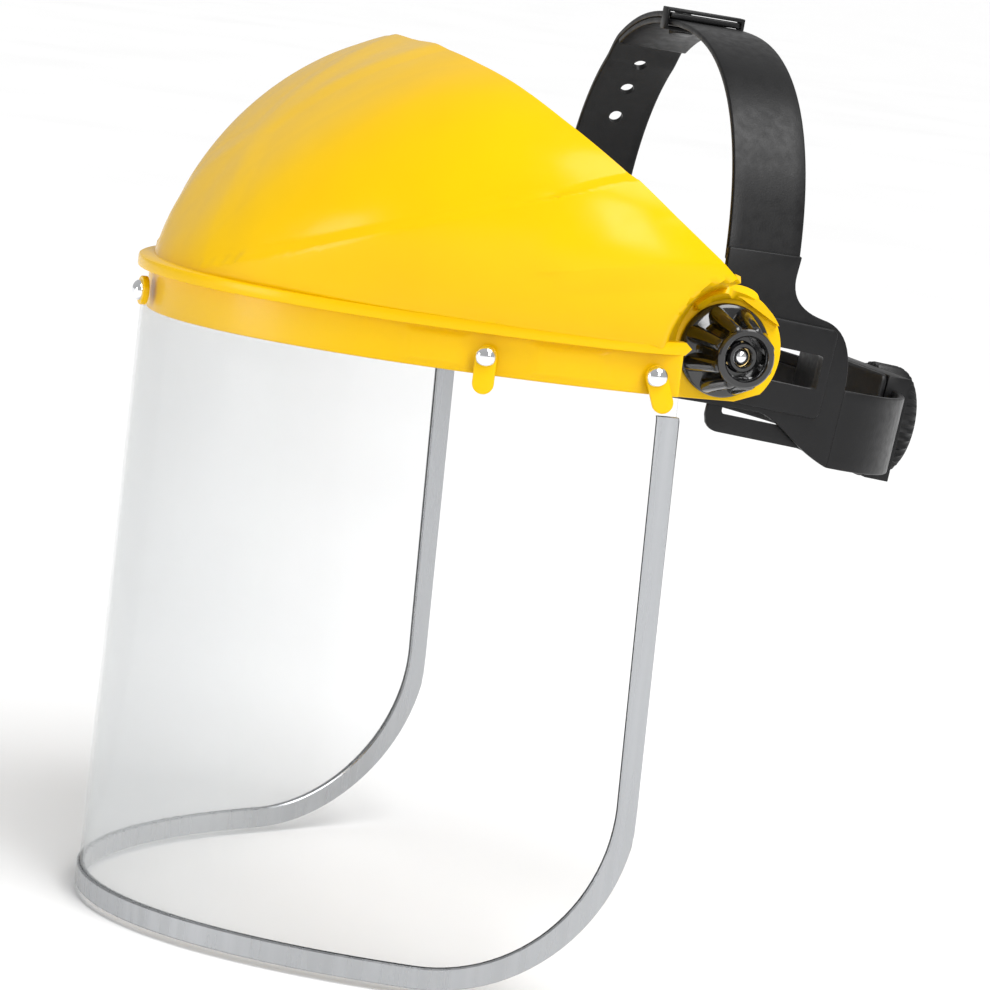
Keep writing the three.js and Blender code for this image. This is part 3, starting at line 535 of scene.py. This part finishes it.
def buildBrowGuard():
    nudge = 0.001

    def place(a, b):
        s, k = 2 * a - 1, b
        point = domePoint(k, s)
        along = domePoint(k, min(s + nudge, 1)) - domePoint(k, max(s - nudge, -1))
        up = domePoint(min(k + nudge, 1), s) - domePoint(max(k - nudge, 0), s)
        outward = along.cross(up).normalized()
        fade = min(1, (1 - abs(s)) / 0.12)
        return point + outward * creaseLift(point, outward) * fade

    shell = laidGrid("browShell", dome["columns"], dome["rows"], place)
    applyModifier(shell, "SOLIDIFY", thickness=dome["wall"] * mm, offset=-1)
    smoothShade(shell, 40)

    def bandPlace(a, b):
        u = (2 * a - 1) * (planLength / 2 - 3)
        z = bandStrip["bottom"] + (bandStrip["top"] - bandStrip["bottom"]) * b
        lift = 0
        for centre, size in ((119, 9), (160, 11)):
            away = max(abs(abs(u) - centre) / size, abs(z + 6.8) / 4.6)
            lift += 0.5 * min(max((1.15 - away) / 0.3, 0), 1)
        point, normal = planAt(u)
        offset = bandStrip["offset"] - 0.5 + lift
        return (point.x + normal.x * offset, point.y + normal.y * offset, z)

    band = laidGrid("browBand", 420, 24, bandPlace)
    applyModifier(band, "SOLIDIFY", thickness=bandStrip["thick"] * mm, offset=-1)
    easeEdges(band, 0.4, 2, 50)
    smoothShade(band, 40)

    low, high, deep, lip = flange["bottom"], flange["top"], -flange["inset"], flange["lip"]
    section = [(deep, low), (lip - 0.6, low), (lip - 0.15, low + 0.15), (lip, low + 0.6),
               (lip, high - 0.9), (lip - 0.2, high - 0.3),
               (lip - 0.7, high), (deep, high)]
    sides = len(section)

    def flangePlace(a, b):
        offset, z = section[round(b * sides) % sides]
        inset = 0.5
        u = (2 * a - 1) * (planLength / 2 - inset)
        if a in (0, 1):
            offset, z = (deep + lip) / 2, (low + high) / 2
            u = math.copysign(planLength / 2, 2 * a - 1)
        offset -= max(0, offset + 3) * max(0, 1 - (planLength / 2 - abs(u)) / flange["tuck"]) ** 1.5
        point, normal = planAt(u)
        return (point.x + normal.x * offset, point.y + normal.y * offset, z)

    lipRing = laidGrid("browFlange", 200, sides, flangePlace)
    smoothShade(lipRing, 40)

    ears = []
    outline = [(-13, ear["bottom"]), (6, ear["bottom"])]
    for i in range(41):
        angle = math.radians(-42 + 192 * i / 40)
        outline.append((ear["radius"] * math.cos(angle), ear["radius"] * math.sin(angle)))
    outline += [(-17.5, 2), (-15.4, 0)]
    for side in (1, -1):
        plate = cutPlate("browEar", outline, side * ear["inner"], side * ear["outer"], 0.5)
        smoothShade(plate, 30)
        ears.append(plate)
    guard = joined("browGuard", [shell, band, lipRing] + ears)
    settle(guard, "visor", yellowShell, "yellow_plastic", "brow_guard")


buildBrowGuard()
print("brow guard ready")

# Studs and tabs.
stud = {"z": -7.1, "head": 3.25, "rise": 2.3, "stand": 3.1, "places": {"mid": 135, "rear": 186}}
tab = {"half": 3.3, "reach": 8.3, "thick": 2.0, "stand": 0.8, "swing": 20}


def onSheet(u, z):
    point, normal = planAt(u)
    out, up = Vector((normal.x, normal.y, 0)), Vector((0, 0, 1))
    sideways = out.cross(up)

    def place(x, y, height):
        spot = Vector((point.x, point.y, z)) + sideways * x + up * y + out * height
        return tuple(spot)

    return place


def buildStud(name, u, body, slotNodes):
    head, stand, rise, rings = stud["head"], stud["stand"], stud["rise"], 8
    profile = [(0, stand - 0.6), (head - 0.25, stand - 0.6), (head, stand - 0.35), (head, stand)]
    for i in range(1, rings):
        angle = math.pi / 2 * i / rings
        profile.append((head * math.cos(angle), stand + rise * math.sin(angle)))
    profile.append((0, stand + rise))
    piece = spunPiece(name, profile, 40, onSheet(u, stud["z"]))
    smoothShade(piece, 40)
    settle(piece, body, polishedChrome, "chrome", slotNodes)


def buildTab(name, u, swing, body, node):
    outline, half, steps = [], tab["half"], 20
    for start, drop in ((0, 0), (math.pi, tab["reach"])):
        for i in range(steps + 1):
            angle = start + math.pi * i / steps
            outline.append((half * math.cos(angle), half * math.sin(angle) - drop))
    turn = math.radians(swing)
    onFace = onSheet(u, stud["z"])

    def intoPlace(point):
        height, x, y = point
        return onFace(x * math.cos(turn) + y * math.sin(turn), -x * math.sin(turn) + y * math.cos(turn), height)

    piece = cutPlate(name, outline, tab["stand"], tab["stand"] + tab["thick"], 0.45, intoPlace)
    smoothShade(piece, 35)
    settle(piece, body, yellowShell, "yellow_plastic", node)


def buildStudsAndTabs():
    buildStud("frontStud", 0, "visor", "stud_front")
    ring = [(2.3, 0.8), (4.4, 0.8), (4.6, 1.0), (4.6, 2.6), (4.4, 2.8), (2.3, 2.8), (2.3, 0.8)]
    spacer = spunPiece("frontSpacer", ring, 40, onSheet(0, stud["z"]))
    smoothShade(spacer, 40)
    settle(spacer, "visor", yellowShell, "yellow_plastic", "stud_spacer_front")
    for side, sign in (("left", 1), ("right", -1)):
        for where in ("mid", "rear"):
            u = sign * stud["places"][where]
            buildStud(f"{where}Stud_{side}", u, "visor", f"stud_{where}_{side}")
            swing = sign * tab["swing"] if where == "rear" else 0
            buildTab(f"{where}Tab_{side}", u, swing, f"tab_{where}_{side}", f"tab_{where}_{side}")


buildStudsAndTabs()
print("studs and tabs ready")

# Side knobs and pivots.
knob = {"start": 90.6, "base": 14.6, "height": 20.6, "lobes": 8, "endOuter": 9.1, "endInner": 6.7, "bore": 2.9,
        "lobeRadius": 3.0, "lobeTaper": 1.2, "lobeCentre": 11.5, "lobeLean": 3.6,
        "boltTip": 17.0, "boltHead": 6.5, "headInner": 79.7, "headOuter": 81.7}


def buildKnob(side, sign):
    def place(x, y, height):
        return (sign * (knob["start"] + height), x, y)

    top = knob["height"]
    base = spunPiece("knobBase", [
        (knob["bore"], 0), (knob["base"] - 0.4, 0), (knob["base"], 0.4), (knob["base"], 1.9), (knob["base"] - 0.5, 2.5),
        (12.6, 2.8), (10.2, 3.4), (9.2, 5), (8.3, top - 5.5), (8.4, top - 4.6), (knob["endOuter"] - 0.2, top - 4.2),
        (knob["endOuter"], top - 3.8), (knob["endOuter"], top - 0.5), (knob["endOuter"] - 0.5, top),
        (knob["endInner"] + 0.5, top), (knob["endInner"], top - 0.6), (knob["endInner"], top - 6), (5.0, top - 6),
        (4.6, top - 5.6), (4.6, top - 3.4), (4.2, top - 3),
        (3.3, top - 3), (knob["bore"], top - 3.4), (knob["bore"], 0)], 96, place)
    smoothShade(base, 40)
    pieces = [base]
    for i in range(knob["lobes"]):
        angle = 2 * math.pi * (i + 0.5) / knob["lobes"]

        def lobe(a, b):
            radius = knob["lobeRadius"] - knob["lobeTaper"] * b
            centre = knob["lobeCentre"] - knob["lobeLean"] * b
            height = 1.4 + (top - 2.6) * b
            around = 2 * math.pi * a
            if b in (0, 1):
                radius = 0
            x = centre + radius * 1.05 * math.cos(around)
            y = radius * math.sin(around)
            return place(x * math.cos(angle) - y * math.sin(angle), x * math.sin(angle) + y * math.cos(angle), height)

        column = laidGrid("knobLobe", 20, 14, lobe)
        smoothShade(column, 50)
        pieces.append(column)
    whole = joined(f"sideKnob_{side}", pieces)
    settle(whole, f"knob_{side}", blackGloss, "black_gloss", f"knob_{side}")

    endHeight, half = knob["boltTip"], knob["boltHead"]
    bolt = spunPiece(f"pivotBolt_{side}", [
        (0, -11), (2.5, -11), (2.5, endHeight - 1.6), (2.3, endHeight - 0.9), (1.7, endHeight - 0.3),
        (0.8, endHeight - 0.05), (0, endHeight)], 40, place)
    square = [(-half, -half), (half, -half), (half, half), (-half, half)]
    head = cutPlate("boltHead", square, sign * knob["headInner"], sign * knob["headOuter"], 0.4, fromHeadgear)
    smoothShade(bolt, 40)
    smoothShade(head, 30)
    settle(joined(f"pivotBolt_{side}", [bolt, head]), "carriage", polishedChrome, "steel", f"pivot_bolt_{side}")
    easedCopy(f"slide_block_{side}", f"slideBlock_{side}", 0.3, naturalNylon, "nylon", "carriage")
    easedCopy(f"friction_washer_{side}", f"frictionWasher_{side}", 0.15, naturalNylon, "nylon", "carriage")
    easedCopy(f"knob_nut_{side}", f"knobNut_{side}", 0.2, turnedBrass, "brass", f"knob_{side}")


for sideName, sideSign in (("left", 1), ("right", -1)):
    buildKnob(sideName, sideSign)
print("knobs ready")

# Headgear.
browStrip = {"start": -22.0, "depth": 81.0, "half": 14.0, "thick": 2.2}
crown = {
    "rise": 85.3, "exponent": 2.44, "width": 24.4, "thick": 2.0, "baseX": -0.8, "baseY": 10.5, "baseZ": 11.0,
    "lean": -2.6, "roll": 2.2,
    "leftEnd": 52.0, "rightEnd": -4.5, "ramp": 12.0, "lift": 2.15, "foot": 17.0,
    "hole": 2.35, "pitch": 12.5, "count": 7, "first": 13.5, "pegHole": 1,
}
nape = {"centre": -17.5, "width": 25.0, "start": 46.0, "depth": 42.4, "exponent": 2.1, "thick": 2.0, "endX": 36.4}
tail = {"width": 17.0, "thick": 1.8, "tip": 3.0,
        "slotFront": 8.0, "slotEnd": 38.0, "slotBelow": 2.6, "slotAbove": 1.4, "slotCorner": 1.2}
sizeKnob = {"radius": 18.6, "front": 90.4, "depth": 13.6, "flutes": 40}


def bezier(points, count):
    result = []
    for i in range(1, count + 1):
        t = i / count
        spots = [Vector(p) for p in points]
        while len(spots) > 1:
            spots = [a.lerp(b, t) for a, b in zip(spots, spots[1:])]
        result.append(tuple(spots[0]))
    return result


def sideOutline():
    half = crown["width"] / 2
    lean = math.tan(math.radians(headgear["pitch"] - crown["lean"]))

    def strapAt(z):
        return crown["baseY"] + (z - crown["baseZ"]) * lean

    low = nape["centre"] - nape["width"] / 2
    outline = [(-24, -14), (-16, -18.4), (18, -17)]
    outline += bezier([(18, -17), (27, -17.5), (32, -25.5), (45.9, low)], 16)
    outline += [(45.9, low + nape["width"])]
    outline += bezier([(45.9, low + nape["width"]), (45.4, 14), (33, 15.2)], 12)
    outline += bezier([(33, 15.2), (strapAt(22) + half - 1.2, 17), (strapAt(26) + half - 0.6, 27)], 12)
    outline += [(strapAt(32) + half, 32 - half * lean), (strapAt(32) - half, 32 + half * lean), (strapAt(22) - half, 22)]
    outline += bezier([(strapAt(22) - half, 22), (strapAt(14) - half, 14), (-16, 14)], 12)
    outline += [(-24, 14)]
    return outline


def roundedBox(y0, y1, z0, z1, radius, steps=5):
    outline = []
    corners = ((y1 - radius, z0 + radius, -90), (y1 - radius, z1 - radius, 0),
               (y0 + radius, z1 - radius, 90), (y0 + radius, z0 + radius, 180))
    for cy, cz, start in corners:
        for i in range(steps + 1):
            angle = math.radians(start + 90 * i / steps)
            outline.append((cy + radius * math.cos(angle), cz + radius * math.sin(angle)))
    return outline


def browCurvePlan(share):
    t = math.pi * share
    return (headgear["half"] * math.cos(t), browStrip["start"] - browStrip["depth"] * math.sin(t))


browLength, browAt = measuredCurve(browCurvePlan)


def buildHeadband():
    pieces = []

    def stripPlace(a, b):
        point, _ = browAt(browLength * a)
        z = -browStrip["half"] + 2 * browStrip["half"] * b
        return fromHeadgear((point.x, point.y, z))

    strip = laidGrid("browStrip", 120, 8, stripPlace)
    applyModifier(strip, "SOLIDIFY", thickness=browStrip["thick"] * mm, offset=0)
    easeEdges(strip, 0.5, 2, 50)
    smoothShade(strip, 40)
    pieces.append(strip)
    for sign in (1, -1):
        plate = cutPlate("sidePlate", sideOutline(), sign * headgear["inner"], sign * headgear["outer"], 0.45, fromHeadgear)
        raised = cutPlate("raisedFrame", roundedBox(*headgear["frame"]),
                          sign * (headgear["outer"] - 0.4), sign * headgear["face"], 0.7, fromHeadgear)
        for wall in (plate, raised):
            slot = roundedBox(*headgear["slot"])
            cutAway(wall, cutPlate("slotTool", slot, sign * 75, sign * 95, 0, fromHeadgear))
            smoothShade(wall, 30)
        pieces += [plate, raised]
    settle(joined("headBand", pieces), "headband", blackSatin, "black_matte", "headband")


def crownPlan(share):
    t = math.pi * share
    power = 2 / crown["exponent"]
    return (headgear["half"] * signedPower(math.cos(t), power), crown["rise"] * math.sin(t) ** power)


crownLength, crownAt = measuredCurve(crownPlan)
crownTop = crownLength / 2


def fromArch(x, y, z):
    lean = math.radians(crown["lean"] - headgear["pitch"])
    turn = Matrix.Rotation(lean, 3, "X") @ Matrix.Rotation(math.radians(crown["roll"]), 3, "Y")
    spot = turn @ Vector((x, y, z)) + Vector((crown["baseX"], crown["baseY"], crown["baseZ"]))
    return fromHeadgear(spot)


def strapFrame(distance):
    point, tangent = crownAt(distance)
    return point, Vector((tangent.y, -tangent.x))


def rightLift(distance):
    share = min(max((crownTop + crown["leftEnd"] + crown["ramp"] - distance) / crown["ramp"], 0), 1)
    return crown["lift"] * share * share * (3 - 2 * share)


def buildCrownStrap(name, start, end, lifted, holes, node):
    def place(a, b):
        distance = start + (end - start) * a
        point, normal = strapFrame(distance)
        offset = rightLift(distance) if lifted else 0
        across = (b - 0.5) * crown["width"]
        return fromArch(point.x + normal.x * offset, across, point.y + normal.y * offset)

    strap = laidGrid(name, 110, 6, place)
    applyModifier(strap, "SOLIDIFY", thickness=crown["thick"] * mm, offset=0)
    easeEdges(strap, 0.55, 3, 50)
    for past in holes:
        point, normal = strapFrame(crownTop + crown["first"] + past)
        sideways = Vector((-normal.y, normal.x))

        def bore(x, y, height):
            spot = Vector(point) + sideways * x + Vector(normal) * height
            return fromArch(spot.x, y, spot.y)

        cutAway(strap, spunPiece("strapBore", [(0, -7), (crown["hole"], -7), (crown["hole"], 9), (0, 9)], 32, bore))
    smoothShade(strap, 40)
    paint(strap, blackSatin)
    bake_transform(strap)
    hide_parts(node)


def napePlan(share):
    t = math.pi * share
    power = 2 / nape["exponent"]
    return (headgear["half"] * signedPower(math.cos(t), power), nape["start"] + nape["depth"] * math.sin(t) ** power)


napeLength, napeAt = measuredCurve(napePlan)


def napeDistanceAt(x):
    low, high = 0, napeLength / 2
    for _ in range(40):
        middle = (low + high) / 2
        if napeAt(middle)[0].x > x:
            low = middle
        else:
            high = middle
    return low


def napeSpot(distance, inset):
    if distance < 0:
        return Vector((headgear["half"] - inset, nape["start"] + distance))
    point, tangent = napeAt(distance)
    return point + Vector((-tangent.y, tangent.x)) * inset


def buildNapeStraps():
    end = napeDistanceAt(nape["endX"])
    inset = nape["thick"] / 2 + 0.5 + tail["thick"] / 2
    for side, sign, ownRack in (("left", 1, "right"), ("right", -1, "left")):
        def place(a, b):
            spot = napeSpot(-0.4 + (end + 0.4) * a, 0)
            return fromHeadgear((sign * spot.x, spot.y, nape["centre"] + (b - 0.5) * nape["width"]))

        strap = laidGrid(f"napeStrap_{side}", 50, 8, place)
        applyModifier(strap, "SOLIDIFY", thickness=nape["thick"] * mm, offset=0)
        easeEdges(strap, 0.5, 3, 50)
        smoothShade(strap, 40)
        paint(strap, blackSatin)
        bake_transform(strap)
        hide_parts(f"rear_strap_{side}")

        reach = nape["start"] - tail["tip"]

        def tailPlace(a, b):
            distance = -reach + (end + reach) * a
            corner = 5.0
            short = max(0, corner - (distance + reach))
            pinch = corner - math.sqrt(max(0, corner ** 2 - short ** 2))
            across = (b - 0.5) * (tail["width"] - 2 * pinch)
            spot = napeSpot(distance, inset)
            return fromHeadgear((sign * spot.x, spot.y, nape["centre"] + across))

        strip = laidGrid(f"strapTail_{side}", 120, 8, tailPlace)
        applyModifier(strip, "SOLIDIFY", thickness=tail["thick"] * mm, offset=0)
        easeEdges(strip, 0.4, 2, 50)
        slot = roundedBox(tail["slotFront"], tail["slotEnd"], nape["centre"] - tail["slotBelow"],
                          nape["centre"] + tail["slotAbove"], tail["slotCorner"])
        cutAway(strip, cutPlate("tailTool", slot, sign * 70, sign * 90, 0, fromHeadgear))
        smoothShade(strip, 40)
        paint(strip, blackSatin)
        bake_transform(strip)
        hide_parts(f"tail_{ownRack}_strap")


def buildSizeKnob():
    start = sizeKnob["front"]
    back = start + sizeKnob["depth"]

    def place(x, y, height):
        return fromHeadgear((x, height, nape["centre"] + y))

    def flute(angle, height, radius):
        if radius < sizeKnob["radius"] - 1.6 or height > back - 1.2:
            return 1
        return 1 - 0.05 * (0.5 + 0.5 * math.cos(sizeKnob["flutes"] * angle)) ** 0.6

    r = sizeKnob["radius"]
    body = spunPiece("napeKnob", [
        (3.5, start), (r - 1.2, start), (r - 0.2, start + 0.6), (r, start + 1.4), (r, back - 3.6),
        (r - 0.35, back - 2.4), (r - 1.1, back - 1.2), (r - 2.4, back - 0.35), (r - 4, back), (8, back),
        (7.2, back - 0.5), (6.6, back - 1.2), (3.6, back - 1.4), (3.5, back - 2.6), (3.5, start)],
        240, place, flute)
    smoothShade(body, 30)
    settle(body, "size_knob", blackSatin, "black_matte", "size_knob")
    easedCopy("size_knob_screw", "napeScrew", 0.15, zincSteel, "steel", "size_knob")
    easedCopy("ratchet_pinion", "napePinion", 0.15, naturalNylon, "nylon", "size_knob")
    easedCopy("ratchet_click", "napeClick", 0.15, naturalNylon, "nylon", "ratchet")
    easedCopy("ratchet_housing", "napeHousing", 0.8, blackSatin, "black_matte", "ratchet")
    easedCopy("ratchet_cover", "napeCover", 0.6, blackSatin, "black_matte", "ratchet")
    easedCopy("rack_left", "napeRack_left", 0.15, blackSatin, "black_matte", "rack_left")
    easedCopy("rack_right", "napeRack_right", 0.15, blackSatin, "black_matte", "rack_right")


def buildBrowPad():
    middle, reach = browLength / 2, browLength / 2 * 62 / 90
    steps, ring = 90, 20

    def place(a, b):
        distance = middle - reach + 2 * reach * a
        point, tangent = browAt(distance)
        inward = Vector((tangent.y, -tangent.x))
        endShare = min(a, 1 - a) * 2 * reach
        pinch = math.sqrt(max(0.02, min(1, endShare / 6)))
        angle = 2 * math.pi * b
        squareness = 0.55
        depth = 3.0 * pinch * signedPower(math.cos(angle), squareness)
        height = 15.4 * pinch * signedPower(math.sin(angle), squareness)
        dimple = 0.35 * math.cos(distance * 2 * math.pi / 23) * max(0, -math.cos(angle))
        spot = point + inward * (1.4 + 3.0 - depth - dimple)
        return fromHeadgear((spot.x, spot.y, height))

    pad = laidGrid("browPad", steps, ring, place)
    pickOnly(pad)
    bpy.ops.object.mode_set(mode="EDIT")
    bpy.ops.mesh.select_all(action="DESELECT")
    bpy.ops.mesh.select_non_manifold()
    bpy.ops.mesh.fill()
    bpy.ops.object.mode_set(mode="OBJECT")
    cleanMesh(pad)
    applyModifier(pad, "SUBSURF", levels=1, render_levels=1)
    smoothShade(pad, 60)
    settle(pad, "headband", sweatCloth, "sweatband_foam", "brow_pad")


def buildHeadgear():
    buildHeadband()
    buildBrowPad()
    rollDrop = headgear["half"] * math.sin(math.radians(crown["roll"]))
    holes = [i * crown["pitch"] for i in range(crown["count"])]
    buildCrownStrap("crownStrap_left", crown["foot"] + rollDrop, crownTop + crown["leftEnd"], False,
                    [holes[crown["pegHole"]]], "crown_strap_left")
    buildCrownStrap("crownStrap_right", crownTop - crown["rightEnd"], crownLength - crown["foot"] + rollDrop, True,
                    holes, "crown_strap_right")
    easedCopy("strap_keeper", "strapKeeper", 0.35, blackSatin, "black_matte", "crown_top")
    easedCopy("strap_peg", "strapPeg", 0.25, blackSatin, "black_matte", "crown_top")
    buildNapeStraps()
    buildSizeKnob()


buildHeadgear()
print("headgear ready")

# Studio.
studio = {
    "floorZ": -0.206, "floorSize": 300.0, "world": 0.49, "lens": 144.36,
    "sunPower": 2.3, "sunAngle": 40, "sunFrom": (0.62, 0.25, 1.0), "aim": (0, -0.03, -0.05),
    "camera": (1.22251, -0.44770, 0.12293), "right": (0.29934, 0.94648, 0.12073), "up": (-0.17392, -0.07029, 0.98225),
    "lights": [
        {"name": "frontBox", "place": (0.15, -1.7, 0.12), "wide": 0.5, "high": 0.6, "power": 5.5},
        {"name": "sideBox", "place": (1.7, 0.12, 0.62), "wide": 0.42, "high": 0.62, "power": 8.0},
        {"name": "topBox", "place": (0.3, 0.7, 1.5), "wide": 0.5, "high": 0.5, "power": 3.0},
    ],
}


def buildStudio():
    deselectAll()
    bpy.ops.mesh.primitive_plane_add(size=studio["floorSize"], location=(0, 0, studio["floorZ"]))
    floor = bpy.context.object
    floor.name = "paleFloor"
    material, nodes, links, shader, coords = blankMaterial("pale floor")
    grain = addNoise(nodes, links, coords, 3, 2)
    links.new(spread(nodes, links, grain.outputs["Fac"], 0.55, 0.7), shader.inputs["Roughness"])
    shader.inputs["Base Color"].default_value = (0.98, 0.98, 0.98, 1)
    floor.data.materials.append(material)

    world = bpy.data.worlds.new("studioWorld")
    bpy.context.scene.world = world
    world.use_nodes = True
    world.node_tree.nodes["Background"].inputs["Color"].default_value = (1, 1, 1, 1)
    world.node_tree.nodes["Background"].inputs["Strength"].default_value = studio["world"]
    sunData = bpy.data.lights.new("softSun", "SUN")
    sunData.energy = studio["sunPower"]
    sunData.angle = math.radians(studio["sunAngle"])
    sun = bpy.data.objects.new("softSun", sunData)
    bpy.context.collection.objects.link(sun)
    sun.rotation_mode = "QUATERNION"
    sun.rotation_quaternion = (-Vector(studio["sunFrom"])).to_track_quat("-Z", "Y")
    for light in studio["lights"]:
        data = bpy.data.lights.new(light["name"], "AREA")
        data.shape = "RECTANGLE"
        data.size, data.size_y = light["wide"], light["high"]
        data.energy = light["power"]
        lamp = bpy.data.objects.new(light["name"], data)
        bpy.context.collection.objects.link(lamp)
        lamp.location = light["place"]
        lamp.rotation_mode = "QUATERNION"
        lamp.rotation_quaternion = (Vector(studio["aim"]) - Vector(light["place"])).to_track_quat("-Z", "Y")

    right, up = Vector(studio["right"]), Vector(studio["up"])
    back = right.cross(up)
    data = bpy.data.cameras.new("mainCamera")
    data.lens, data.sensor_width = studio["lens"], 36
    camera = bpy.data.objects.new("mainCamera", data)
    bpy.context.collection.objects.link(camera)
    camera.matrix_world = Matrix((
        (right.x, up.x, back.x, studio["camera"][0]), (right.y, up.y, back.y, studio["camera"][1]),
        (right.z, up.z, back.z, studio["camera"][2]), (0, 0, 0, 1)))
    bpy.context.scene.camera = camera
    bpy.context.scene.view_settings.view_transform = "Standard"


buildStudio()
print("studio ready")
